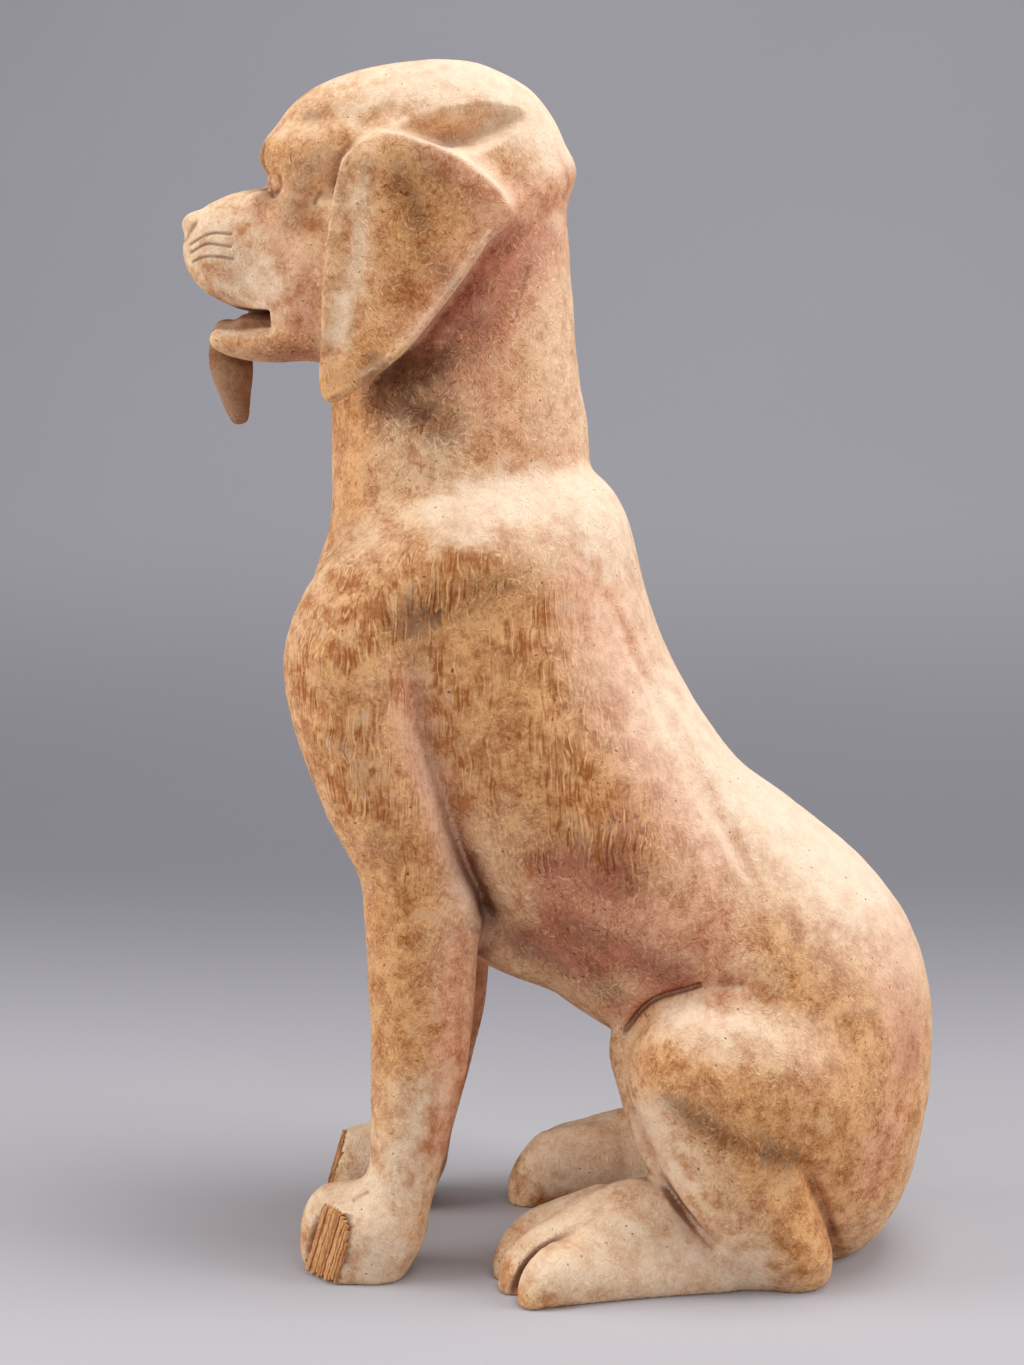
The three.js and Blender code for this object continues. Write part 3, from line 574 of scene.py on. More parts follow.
def hind_leg_at(p, left):
    d = blend(thigh(left), knee(left), 10)
    d = blend(blend(d, inner_thigh(left), 4), shin(left), 8)
    raised = np.where(p[:, 1] > 0, 0.16 * ease(-p[:, 0], -18, 8), 0)
    q = left * np.stack([np.ones(len(p)), np.ones(len(p)), 1 - raised], 1)
    toes = FAR
    for toe in hind_toes:
        toes = blend(toes, toe(q), 1.2)
    feet = blend(foot(left), toes, 3.5)
    for seam in toe_seams:
        feet += groove(seam(q), 1.9, 2.1)
    return blend(d, feet, 3)

def dog_at(p):
    left = p * [1, 0, 1] - np.abs(p) * [0, 1, 0]
    x, m, z = left.T
    d = blend(blend(trunk(p), yoke(p), 10), withers(p), 10)
    d = blend(blend(d, neck(p), 4), breast(p), 12)
    d = blend(d, np.where(z < 170, belly(p), FAR), 10)
    d = blend(d, foreleg_at(p, left), 7)
    d = blend(d, np.where(z < 170, hind_leg_at(p, left), FAR), 5)
    d += np.where(m < -30, ease(-z, -250, -190) * groove(armpit(p), 4, 2.6), 0)
    d += groove(spine_side(left), 6, 1.3)
    low = (m < -20) & (z < 160)
    for near, width, depth in creases:
        d += np.where(low, groove(near(p), width, depth), 0)
    high = np.flatnonzero(z > 290)
    if high.size:
        d[high] = blend(d[high], head_at(p[high]), 3)
    return np.maximum(d, -z)

print("distance at the middle of the barrel:", dog_at(np.array([[0.0, 0, 190]])).round(1), "mm")

# %% [markdown]
# ## From field to surface
#
# The field is read on a grid, and OpenVDB draws the surface where it is zero. Most of the grid
# is far from the surface, so it is read in three looks: blocks of four, then of two, then single
# points, and each look goes on only where the one before came close.

# %% Read the field near the surface
def read_grid(low, high, step):
    count = (np.ceil((np.asarray(high) - low) / (4 * step)) * 4).astype(int)
    values = None
    for block, reach in ((4, 7 * step), (2, 3.4 * step), (1, 0)):
        shape = count // block
        centre = (block - 1) / 2
        if values is None:
            todo = np.indices(shape).reshape(3, -1).T
            values = np.zeros(shape, np.float32)
        else:
            values = values.repeat(2, 0).repeat(2, 1).repeat(2, 2)
            close = close.repeat(2, 0).repeat(2, 1).repeat(2, 2)
            todo = np.argwhere(close)
        for start in range(0, len(todo), 200000):
            some = todo[start:start + 200000]
            values[tuple(some.T)] = dog_at(np.asarray(low) + (some * block + centre) * step)
        close = np.abs(values) < reach
        print("looked at", len(todo), "points", block * step, "mm apart")
    return values

STEP = 1.35
LOW = np.array([-150.0, -84.0, -STEP - 0.05])
field = read_grid(LOW, (152.0, 84.0, 456.0), STEP)

# %% Draw the surface
def surface_of(values, low, step):
    edge = np.float32(3 * step)
    grid = openvdb.FloatGrid(float(edge))
    grid.copyFromArray(np.clip(values, -edge, edge))
    points, triangles, quads = grid.convertToPolygons(0.0, 0.0)
    points = np.asarray(points, float) * step + low
    quads = np.asarray(quads, int)
    a, b, c = (points[quads[:, i]] for i in range(3))
    inward = (np.cross(b - a, c - a) * a).sum() < 0
    return points, quads[:, ::-1] if inward else quads

points, quads = surface_of(field, LOW, STEP)
del field
print("surface:", len(points), "points,", len(quads), "four-sided faces")

# %% [markdown]
# The drawn surface has far more faces than the flat parts need. It is settled onto the field
# (one light smoothing, then each point steps back by its distance), and Blender's Decimate
# modifier takes away the edges that change the form least.

# %% Make the mesh, settle it and thin it
SOLE = 0.35  # mm, points lower than this lie flat on the floor
FACES_KEPT = 145000

def make_mesh(name, points, faces):
    mesh = bpy.data.meshes.new(name)
    mesh.from_pydata(points.tolist(), [], faces.tolist())
    return mesh

def points_of(mesh):
    flat = np.empty(3 * len(mesh.vertices), np.float32)
    mesh.vertices.foreach_get("co", flat)
    return flat.reshape(-1, 3).astype(float)

def normals_of(mesh):
    flat = np.empty(3 * len(mesh.vertices), np.float32)
    mesh.vertex_normals.foreach_get("vector", flat)
    return flat.reshape(-1, 3).astype(float)

def put_points(mesh, points):
    mesh.vertices.foreach_set("co", points.astype(np.float32).ravel())
    mesh.update()

def settle(mesh, some=None):
    p, n = points_of(mesh), normals_of(mesh)
    chosen = np.arange(len(p)) if some is None else some
    step = np.clip(dog_at(p[chosen]), -1, 1)
    p[chosen] -= n[chosen] * step[:, None]
    p[p[:, 2] < SOLE, 2] = 0
    put_points(mesh, p)

body = make_mesh("carved_body", points, quads)
work = bmesh.new()
work.from_mesh(body)
bmesh.ops.smooth_vert(work, verts=work.verts, factor=0.5, use_axis_x=True, use_axis_y=True, use_axis_z=True)
work.to_mesh(body)
work.free()
settle(body)
dog = bpy.data.objects.new("carved_body", body)
bpy.context.scene.collection.objects.link(dog)

def thin_out(thing, faces):
    tool = thing.modifiers.new("thin", "DECIMATE")
    tool.use_collapse_triangulate = True
    tool.ratio = min(1.0, faces / (2 * len(thing.data.polygons)))
    evaluated = thing.evaluated_get(bpy.context.evaluated_depsgraph_get())
    thinner = bpy.data.meshes.new_from_object(evaluated)
    thing.modifiers.remove(tool)
    thing.data = thinner

thin_out(dog, FACES_KEPT)
body = dog.data
print("after thinning:", len(body.polygons), "triangles")

# %% [markdown]
# ## Knife lines
#
# Whisker cuts, lids and cracks are finer than the mesh. The triangles beside each of these
# lines are split in half twice, and then the points sink along the line. Splitting only there
# keeps the piece light. A bump map would be lighter still, but it doesn't cast a shadow and it
# leaves the outline smooth.

# %% The knife lines
def on_the_face(points):
    """Distance to a line drawn on both sides of the face, as seen from the side of the head."""
    near = line(points, 6, 8)

    def distance(p):
        q = into_head(p)
        return np.where((np.abs(q[:, 1]) > 4) & (q[:, 0] < -80), near(q), FAR)
    return distance

def on_the_left(points):
    near = line(points, 6, 8)
    return lambda p: np.where(p[:, 1] < -15, near(p), FAR)

WHISKERS = [
    [[-136, 382], [-131, 384.4], [-126.6, 385.6], [-120.1, 385]],
    [[-135.6, 379], [-131, 381.2], [-127.7, 381.7], [-120.2, 380.4]],
    [[-135, 375.6], [-130, 377], [-124.5, 376.9], [-119.4, 376]],
]
EYE_LINES = [
    [[-105.8, 403], [-104.4, 398.7], [-101.8, 401.8], [-101.7, 404.6]],
    [[-89.3, 395.9], [-88.1, 397.6], [-86.8, 399.4]],
]
NOSE_LINE = [[-133.8, 389.8], [-135.6, 387.4], [-137.6, 384.6], [-138.6, 383.6]]

def round_the_nose():
    near = line(NOSE_LINE, 6, 8)
    return lambda p: near(into_head(p))

# Each knife line has a distance, a width and a depth in millimetres, and how dark it is
knife_lines = [(on_the_face(w), 0.46, 0.9, 0.9) for w in WHISKERS]
knife_lines += [(on_the_face(e), 0.7, 0.7, 0.6) for e in EYE_LINES]
knife_lines += [(round_the_nose(), 0.65, 0.9, 0.5)]
knife_lines += [(on_the_left([[-9.7, 372.5], [-11.7, 363.4], [-13.8, 354.4]]), 0.4, 0.35, 0.6)]
knife_lines += [(on_the_left([[27, 92.5], [28.5, 95], [38, 107], [54.5, 114.5]]), 0.7, 0.8, 0.45)]
knife_lines += [(on_the_left([[-72.6, 30.6], [-69.8, 32.4], [-67.3, 34]]), 0.45, 0.8, 0.5)]
print("knife lines:", len(knife_lines))

# %% Split the triangles beside the lines
def split_near(mesh, distance, reach):
    p = points_of(mesh)
    close = distance(p) < reach
    work = bmesh.new()
    work.from_mesh(mesh)
    work.verts.ensure_lookup_table()
    edges = [e for e in work.edges if close[e.verts[0].index] or close[e.verts[1].index]]
    bmesh.ops.subdivide_edges(work, edges=edges, cuts=1)
    bmesh.ops.triangulate(work, faces=work.faces)
    work.to_mesh(mesh)
    work.free()

def nearest_knife(p):
    return np.min([near(p) / (2 * width) for near, width, depth, stain in knife_lines], axis=0)

for reach in (1.7, 1.3):
    split_near(body, nearest_knife, reach)
    settle(body, np.flatnonzero(nearest_knife(points_of(body)) < reach + 0.5))
print("after splitting:", len(body.polygons), "triangles")

# %% [markdown]
# The whole skin also has the slight waviness of hand tools: a sum of a few dozen slow waves in
# fixed random directions, a third of a millimetre high. It fades on the soles, so that the dog
# still stands flat. A few long gouge strokes follow the back.

# %% Sink the lines and add the hand of the tool
WAVE_HEIGHT = 0.32  # mm
CROWDING = 3.2  # so many waves partly cancel out, and this makes up for it
rng = np.random.default_rng(11)
waves = []
for length in (34, 26, 19, 14, 10):
    for _ in range(7):
        direction = rng.normal(size=3)
        wave = direction / np.linalg.norm(direction) * 2 * math.pi / length
        waves.append((wave, rng.uniform(0, 6.28), length))

def tool_waves(p):
    height = sum(np.sin(p @ k + phase) * length for k, phase, length in waves)
    total = sum(length for _, _, length in waves)
    return height * WAVE_HEIGHT / total * CROWDING

GOUGES = [
    line([[20.9, -34.7, 252.4], [35.6, -34.3, 219.5], [54.1, -38.4, 183.4], [70.4, -47.9, 155.7]], 5, 8),
    line([[31.9, -32.1, 230.3], [50.4, -33, 197.3], [65, -40.7, 169.1], [75.7, -51, 145.4]], 5, 8),
    line([[33, -24, 238], [52, -24, 206], [72, -27, 177]], 5, 8),
]
points, normals = points_of(body), normals_of(body)
height = tool_waves(points) * ease(points[:, 2], 0.5, 8)
for gouge in GOUGES:
    height -= groove(gouge(points * [1, 0, 1] - np.abs(points) * [0, 1, 0]), 2.7, 1.1)
for near, width, depth, stain in knife_lines:
    height -= groove(near(points), width, depth)
points += normals * height[:, None]
points[points[:, 2] < SOLE, 2] = 0
put_points(body, points)
print("tool waves from", round(height.min(), 2), "to", round(height.max(), 2), "mm")

# %% [markdown]
# ## Where the stains lie
#
# The wood isn't one colour: ochre on the ribs, shoulder and ears, brown under the ear, rose and
# deep red on the neck, flank and shin, and pale wood where hands have rubbed it. Close under the
# ear the brown and deep red also hold painted shadow, and a thin brown band is painted shade under
# the brow. Stains are weaker and the wood paler where it faces up, and a painted highlight lightens
# what faces up and to the right. Each stain is brushed on along a short line seen from the side,
# with a soft edge, and is stored on the points of the mesh as a number from 0 to 1. The material
# breaks up its edge later. A painted image would need the mesh unfolded first, and this doesn't.

# %% Brush the stains on
STAINS = {  # colour: line seen from the side, radius, strength
    "ochre": [
        ([[-73.3, 250], [-78, 215.6], [-66.0, 178]], 17, 0.85),
        ([[-60, 268], [-30, 262], [-5, 250]], 14, 0.8),
        ([[-28.9, 235], [-11.1, 205], [18, 175]], 26, 1.0),
        ([[-53.7, 160], [-55.5, 122.8], [-46.6, 95.0]], 14, 0.95),
        ([[-62, 90], [-60, 60]], 9, 0.5),
        ([[45, 90], [67.0, 78], [80, 62]], 15, 0.95),
        ([[88.3, 130], [105, 101.4], [108, 70.0], [104, 40]], 16, 0.75),
        ([[88.3, 48], [90, 18]], 14, 1.0),
        ([[124, 140], [134, 87.1], [124, 40]], 9, 0.7),
        ([[-7.6, 2.2], [-1.2, 2.2]], 5, 1.0),
        ([[-75, 275], [-74, 300], [-72, 330]], 11, 0.7),
        ([[-20, 330], [-15, 300], [-25, 285]], 16, 0.55),
        ([[-55.5, 401.3], [-44.6, 395.8]], 9, 1.0),
        ([[-35.6, 381.3], [-55.5, 348.5], [-73.6, 334.0]], 12, 0.9),
        ([[-75, 385], [-78, 350]], 7, 0.6),
        ([[-52, 385], [-44, 366]], 13, 0.9),
        ([[84, 160], [104, 128], [110, 100]], 15, 0.9),
        ([[-100, 417], [-85, 428], [-66, 425]], 13, 0.85),
        ([[-40, 425], [-20, 405]], 10, 0.5),
        ([[-125, 385], [-110, 375], [-100, 360]], 8, 0.3),
        ([[-120, 347], [-95, 347]], 6, 0.5),
    ],
    "brown": [
        ([[-44, 380], [-38, 368]], 7, 0.45),
        ([[-100, 415], [-88, 424], [-72, 426]], 9, 0.3),
        ([[-88.5, 427], [-83.5, 428]], 3, 0.7),
        # Painted shade: a thin dark band under the edge of the brow
        ([[-99, 391], [-96, 397], [-91, 403], [-85, 411]], 2.6, 0.3),
        ([[-55, 400], [-47, 390]], 6, 0.6),
        # Brown stain with painted shadow under the tip of the ear
        ([[-60, 333], [-50, 322.7], [-40, 318]], 9, 0.7),
        ([[-53.7, 244.1], [-36.0, 251.3], [-11.1, 262.0]], 8, 0.5),
        ([[3.1, 162], [28, 154]], 12, 0.4),
        ([[-28.9, 160], [-25.3, 133.5]], 4, 0.5),
        ([[42.2, 76.4], [67.0, 62.1], [88.3, 55.0]], 5.0, 0.5),
        ([[-12, 125], [10, 118], [25, 106]], 7, 0.5),
    ],
    "rose": [
        ([[-30, 350], [-19.3, 374.0], [-2, 392]], 17, 1.0),
        ([[-38, 345], [-25, 325], [-2, 300]], 12, 0.7),
        ([[13.7, 262], [35, 200], [62, 158.5]], 13, 0.9),
        ([[5, 150], [30, 140], [58, 133.5]], 13, 1.0),
        ([[24, 100], [40, 110], [70, 114]], 6, 0.9),
        ([[118, 145], [129, 87.1], [118, 40]], 9, 0.7),
        ([[33.3, 65.7], [45.7, 33.6], [56.4, 19.3]], 4.0, 1.0),
        ([[-32.4, 130], [-36.0, 80.0], [-43.1, 50.0]], 7, 0.85),
        ([[-104, 392], [-97, 375], [-91.7, 352]], 9, 0.7),
        ([[-52.0, 225], [-43.1, 183.5], [-30, 150]], 7, 0.7),
        ([[-40, 412], [-25, 402], [-12, 390]], 6, 0.8),
        ([[75, 100], [92, 90]], 9, 0.5),
    ],
    "deep_red": [
        ([[2, 138], [20, 128], [45, 118]], 8, 0.9),
        ([[0, 160], [22, 152]], 9, 0.7),
        ([[-12, 127], [14, 118]], 7, 0.8),
        ([[-8, 380], [-26, 352]], 8, 0.7),
        ([[26, 180], [34, 150]], 7, 0.4),
        ([[-38, 150], [-31, 175]], 4, 0.4),
        ([[36, 60], [44, 36], [56, 20]], 2.5, 0.7),
        ([[129, 120], [132, 80]], 5, 0.4),
        ([[-104, 340], [-84, 342]], 5, 0.6),
    ],
    "pale": [
        ([[-62.7, 437], [-30.1, 442], [0, 421.3]], 12, 0.8),
        ([[-35, 285], [3.1, 292], [24.4, 270]], 9, 0.9),
        ([[45.7, 215], [81.2, 172], [112, 146]], 11, 0.9),
        ([[-78, 37.2], [-60, 12]], 14.3, 0.95),
        ([[3.1, 22.9], [45.7, 12.2], [70, 8]], 15.7, 0.95),
        ([[36, 68], [45.7, 44.3]], 8, 0.8),
        ([[50, 104], [74.1, 96]], 6, 0.5),
        ([[-130, 388], [-119, 381], [-108, 368]], 11, 0.9),
        ([[-66, 404], [-70, 372], [-76, 345]], 5, 0.6),
        ([[-48, 70], [-52, 40]], 9, 0.6),
    ],
}

def brush(p, kind):
    bare = np.ones(len(p))
    for path, radius, strength in STAINS[kind]:
        bare *= 1 - strength * np.exp(-(line(path, 4, 3.5 * radius)(p) / (1.25 * radius)) ** 2)
    return 1 - bare

def store(mesh, name, values):
    layer = mesh.attributes.new(name, "FLOAT", "POINT")
    layer.data.foreach_set("value", values.astype(np.float32))
    print(name, "covers", round(float(values.mean()), 2), "of the points")

# Stain and painted shadow on the neck close under the ear, red higher up and dark brown lower down
head_points = into_head(points)
beside_ear = ear_outline(head_points[:, 0], head_points[:, 2])
near_ear_stain_and_shadow = ease(beside_ear, -0.6, 0.8) * (np.abs(points[:, 1]) < 41) * ease(-points[:, 2], -394, -386)
near_ear_stain_and_shadow = near_ear_stain_and_shadow * ease(points[:, 0], -74, -64)
red_side = near_ear_stain_and_shadow * np.exp(-(np.maximum(beside_ear, 0) / 17) ** 2) * ease(points[:, 2], 334, 352)
dark_side = near_ear_stain_and_shadow * np.exp(-(np.maximum(beside_ear, 0) / 19) ** 2) * ease(-points[:, 2], -362, -340)
under_ear_stain_and_shadow = {"deep_red": red_side, "brown": dark_side}

normals = normals_of(body)
facing_up = ease(normals[:, 2], 0.15, 0.9)
for kind in ("ochre", "brown", "rose", "deep_red"):
    store(body, kind, np.maximum(brush(points, kind) * (1 - 0.6 * facing_up), under_ear_stain_and_shadow.get(kind, 0)))
rib_area = ease(points[:, 2], 140, 160) * ease(-points[:, 2], -285, -270)
store(body, "combed", brush(points, "ochre") * rib_area)
store(body, "pale", 1 - (1 - brush(points, "pale")) * (1 - 0.5 * facing_up))
# Painted highlight: wood that faces up and to the right, towards the top and right lamps, is made paler
painted_highlight = ease(normals @ [0.45, 0, 0.89], 0.25, 0.95) * ease(points[:, 2], 60, 110)
store(body, "painted_highlight", painted_highlight * ease(points[:, 0], -80, -45))

# %% [markdown]
# Dirt and painted shade darken the creases, and the ridges are rubbed pale. The field tells which is which:
# a point held a few millimetres above the skin is nearer to other wood in a crease, and a point
# just under the skin is nearer to the air at a ridge.

# %% Creases and ridges
# Dirt and painted shade: the creases, where other wood lies close above the skin, are darkened
above = dog_at(points + normals * 5)
on_face = ease(-points[:, 0], 68, 80) * ease(points[:, 2], 372, 386)
store(body, "crease_dirt_and_shade", np.clip(1 - above / 5, 0, 1) ** 1.2 * (1 - 0.5 * on_face))
below = dog_at(points - normals * 3)
store(body, "ridge", np.clip(1 + below / 3, 0, 1))
cuts = np.zeros(len(points))
for near, width, depth, stain in knife_lines:
    cuts = np.maximum(cuts, groove(near(points), 1.2 * width, stain))
head_left = head_points * [1, 0, 1] - np.abs(head_points) * [0, 1, 0]
# Painted shade: the walls of the eye sockets are darkened as if in shadow
cuts = np.maximum(cuts, 0.75 * ease(-np.abs(socket(head_left)), -1.2, -0.5))
store(body, "cuts", cuts)
tongue = np.minimum(tongue_tip(head_points), tongue_root(head_points))
store(body, "tongue", ease(-tongue, -1.4, -0.5))
breaks = [
    (near_break, (points[:, 1] < 0) & (break_inner(points) > -0.4)),
    (far_break, points[:, 1] > 0),
]
# Painted shade: the broken faces behind the slats are painted dark, so the gaps between the slats look
# shadowed
painted_shade_behind_slats = [on_side * (np.abs(face(points)) < 0.9) * (normals @ face.normal > 0.8)
    for face, on_side in breaks]
store(body, "painted_shade_behind_slats", np.maximum(*painted_shade_behind_slats) * (points[:, 2] < 40) * (points[:, 0] < -60))

# %% [markdown]
# ## The wood
#
# Seen close, the skin is mottled ochre, tan and cream, and over it lie fine fibres a few
# millimetres long, some cream, some brown, each curling its own way. On the ribs they stand
# upright, side by side. A Voronoi pattern makes them: every cell gets a flat sheet through its
# middle, turned by the cell's own random colour, and where the sheet meets the skin there is one
# fibre. The sheets work from every side, which a flat pattern projected from one side would not.
# Between the fibres lies a finer nap, a stretched noise that is combed another way in each tuft.

# %% Strokes, streaks and tufts
def strokes(wood, vector, size, width, seed, spread=(2, 2, 2)):
    """One thin stroke in every cell, 1 along its middle and 0 beside it."""
    cells = wood.shift(vector, (seed, 2 * seed, -seed))
    jumble = wood.add("ShaderNodeTexVoronoi", {"Vector": cells, "Scale": 1 / size}, output="Color")
    middle = jumble.node.outputs["Position"]
    turned = wood.scale(wood.shift(jumble, (-0.5, -0.5, -0.5)), spread)
    facing = wood.add("ShaderNodeVectorMath", {0: turned}, operation="NORMALIZE")
    away = wood.add("ShaderNodeVectorMath", {0: cells, 1: middle}, operation="SUBTRACT")
    across = wood.add("ShaderNodeVectorMath", {0: away, 1: facing}, "Value", operation="DOT_PRODUCT")
    thin = wood.band(wood.math("ABSOLUTE", across), width, 0.25 * width)
    length = wood.add("ShaderNodeVectorMath", {0: away}, "Value", operation="LENGTH")
    return wood.math("MULTIPLY", thin, wood.band(length, 0.62 * size, 0.4 * size))

def streaks(wood, vector, across, along):
    return wood.noise(wood.scale(vector, (1 / across, 1 / across, 1 / along)), 1.0, 2, 0.55)

def tufts(wood, vector, size, across, along):
    """Fine streaks that lie in tufts, each tuft combed another way."""
    jumble = wood.add("ShaderNodeTexVoronoi", {"Vector": vector, "Scale": 1 / size}, output="Color")
    turned = wood.add("ShaderNodeVectorRotate", {"Vector": vector,
        "Center": jumble.node.outputs["Position"], "Angle": wood.around_half(jumble, 3.6)},
        rotation_type="Y_AXIS")
    return streaks(wood, turned, across, along)

# %% [markdown]
# The patterns would look printed if they kept to a straight grid, so a slow random shift sways
# the place that they read, and a quicker one curls the fibres. The number `ribs` is 1 where the
# carver combed the ribs, and there upright lines take the place of the curled fibres.

# %% The nap of the wood
class Nap:
    """The patterns of the skin that colour, shine and bump all read."""

    def __init__(self, wood):
        at = wood.place()
        bent = wood.shift(at, wood.wander(at, 14, 5))
        curly = wood.shift(bent, wood.wander(at, 2.6, 1.9))
        self.patch = wood.noise(at, 26, 3, 0.6)
        self.blotch = wood.noise(at, 8, 4, 0.65)
        self.speck = wood.noise(curly, 1.7, 3, 0.65)
        self.ribs = wood.math("MULTIPLY", wood.painted("combed"), wood.band(self.patch, 0.36, 0.54), True)

        upright = wood.scale(bent, (1, 1, 0.14))
        on_ribs = (4, 4, 0.3)
        hairs = wood.math("MAXIMUM",
            strokes(wood, curly, 4.6, 0.3, 31.0), strokes(wood, curly, 3.1, 0.25, 77.0))
        hairs = wood.math("MULTIPLY", hairs, wood.band(self.blotch, 0.4, 0.6, 0.35, 1.0))
        self.cream = wood.choose(self.ribs, hairs, strokes(wood, upright, 2.4, 0.4, 11.0, on_ribs))
        in_hollows = wood.band(self.blotch, 0.6, 0.42, 0.2, 1.0)
        dark_hairs = wood.math("MULTIPLY", strokes(wood, curly, 3.6, 0.24, 53.0), in_hollows)
        self.sunk = wood.choose(self.ribs, dark_hairs, strokes(wood, upright, 2.4, 0.4, 23.0, on_ribs))
        self.fine = wood.choose(self.ribs, tufts(wood, curly, 4.5, 0.5, 3.4), streaks(wood, bent, 0.8, 10))

        pores = wood.add("ShaderNodeTexVoronoi", {"Vector": curly, "Scale": 1 / 4.6, "Randomness": 1.0})
        self.pore = wood.math("MULTIPLY",
            wood.band(pores, 0.12, 0.05), wood.band(self.blotch, 0.42, 0.58))

    def tone(self, wood):
        """Light or dark: patches and specks first, then the fibres over them."""
        tone = wood.math("ADD", wood.math("MULTIPLY", self.blotch, 2.7),
            wood.math("MULTIPLY", self.speck, 1.1))
        tone = wood.math("ADD", wood.math("SUBTRACT", tone, wood.band(self.ribs, 0, 1, 1.98, 2.12)),
            wood.math("MULTIPLY", self.fine, 1.3))
        strength = wood.band(self.ribs, 0, 1, 0.36, 0.6)
        tone = wood.math("ADD", tone, wood.math("MULTIPLY", self.cream, strength))
        return wood.math("SUBTRACT", tone, wood.math("MULTIPLY", self.sunk, strength), True)

    def stain(self, wood, name, low, high):
        """A painted stain whose edge follows the patches and the fibres."""
        edge = wood.math("ADD", wood.painted(name), wood.around_half(self.blotch, 1.5))
        fibres = wood.math("SUBTRACT", wood.math("SUBTRACT", self.sunk, self.cream), self.speck)
        wide = wood.math("ADD", wood.around_half(self.patch, 0.9), wood.math("MULTIPLY", fibres, 0.2))
        return wood.band(wood.math("ADD", edge, wide), low, high)

# %% [markdown]
# The colour is laid on as a painter would: light and dark wood, then each stain in its own light
# and dark shade, then the painted highlight and the rubbed places, the dirt with painted shade, and the
# pores.

# %% Carved wood
def carved_wood():
    wood = Recipe("carved_wood")
    nap = Nap(wood)
    tone = nap.tone(wood)
    dark, light = paint(186, 122, 74), paint(242, 204, 162)
    for name, low, high, strength, dark_paint, light_paint in (
        ("ochre", 0.0, 0.8, 0.95, paint(162, 92, 40), paint(234, 176, 116)),
        ("rose", 0.0, 0.85, 0.9, paint(180, 104, 70), paint(236, 178, 140)),
        ("brown", 0.05, 0.8, 0.94, paint(66, 30, 12), paint(118, 66, 31)),
        ("deep_red", 0.05, 0.85, 0.9, paint(112, 52, 36), paint(184, 108, 80)),
        ("pale", 0.0, 0.8, 0.85, paint(222, 182, 146), paint(246, 220, 190)),
    ):
        share = wood.math("MULTIPLY", nap.stain(wood, name, low, high), strength)
        dark = wood.mix(share, dark, dark_paint)
        light = wood.mix(share, light, light_paint)
    colour = wood.mix(tone, dark, light)

    # A painted highlight where the wood faces up and to the right, rubbed ridges, dirt and painted shade in
    # the creases, dirt in the knife lines with painted shade in the eye sockets, small dark pores, and
    # painted shade on the broken faces behind the splinters
    dirt_and_shade = wood.math("ADD", wood.painted("crease_dirt_and_shade"), wood.around_half(nap.blotch, 0.3))
    for where, strength, cover in (
        (wood.painted("painted_highlight"), 0.6, paint(251, 228, 208)),
        (wood.painted("ridge"), 0.4, paint(246, 224, 194)),
        (wood.band(dirt_and_shade, 0.15, 0.95), 0.75, paint(112, 56, 36)),
        (wood.painted("cuts"), 0.65, paint(96, 54, 32)),
        (nap.pore, 0.8, paint(94, 54, 32)),
        (wood.painted("tongue"), 0.7, paint(112, 64, 38)),
        (wood.painted("painted_shade_behind_slats"), 1.0, paint(92, 48, 24)),
    ):
        colour = wood.mix(wood.math("MULTIPLY", where, strength), colour, cover)
    wood.plug(wood.shader.inputs["Base Color"], colour)

    wood.plug(wood.shader.inputs["Roughness"], wood.band(tone, 0.0, 1.0, 0.82, 0.66))
    wood.shader.inputs["Specular IOR Level"].default_value = 0.2
    relief = wood.math("ADD", nap.cream, wood.math("MULTIPLY", nap.fine, 1.3))
    relief = wood.math("SUBTRACT", relief, wood.math("MULTIPLY", nap.pore, 1.2))
    wood.bump(relief, 0.6, 0.0004)
    return wood.material

skin = carved_wood()
body.materials.append(skin)
body.polygons.foreach_set("use_smooth", [True] * len(body.polygons))
print("nodes in the wood:", len(skin.node_tree.nodes))

# %% [markdown]
# ## The broken toes
#
# Where the toes snapped off, the growth layers of the log stand open like the edges of a pack of
# cards. Each layer starts at the floor and ends where the skin of the paw begins, so its length
# is found by walking up the broken face and asking the field. A Geometry Nodes tree then sets a
# splintered slat on every layer. It repeats one slat with its own depth and lean, which is easier
# to adjust later than slats modelled one by one.

# %% Where the layers lie
WALK = 0.25  # mm, from one point to the next up the broken face
SHORTEST = 6.5  # mm, a shorter layer is left out

def layers_on(face, start, count, pitch, lean, trim, sink):
    """Middle, direction, facing and length of each growth layer on a broken face."""
    across = np.cross([0, 0, 1], face.normal)
    across /= np.linalg.norm(across)
    up = np.cross(face.normal, across)
    up = up * math.cos(lean) + across * math.sin(lean)
    found = []
    for i in range(count):
        foot = np.array([*start, 0.0]) + across * i * pitch
        foot -= face.normal * (face(foot[None])[0] + sink)
        walk = foot + np.arange(-8, 44, WALK)[:, None] * up
        open_wood = dog_at(walk + face.normal * (0.8 + sink)) > 0.3
        open_wood &= dog_at(walk + face.normal * (sink - 1.2)) < 0
        open_wood &= walk[:, 2] > 1.2 + 0.8 * math.sin(2.1 * i)
        if open_wood.sum() > SHORTEST / WALK:
            low, high = walk[open_wood][0], walk[open_wood][-1] - up * trim
            found.append(((low + high) / 2, up, face.normal, np.linalg.norm(high - low)))
    return found

layers = layers_on(near_break, start=(-94, -40), count=32, pitch=1.55, lean=math.radians(17),
    trim=0.6, sink=1.2)
layers += layers_on(far_break, start=(-99, 66), count=22, pitch=2.05, lean=math.radians(4),
    trim=1.6, sink=1.9)
print("growth layers:", len(layers))

# %% [markdown]
# The tree works on bare points, one for each layer, in metres. Its inputs are named, so a width
# or a depth can be changed without opening it.

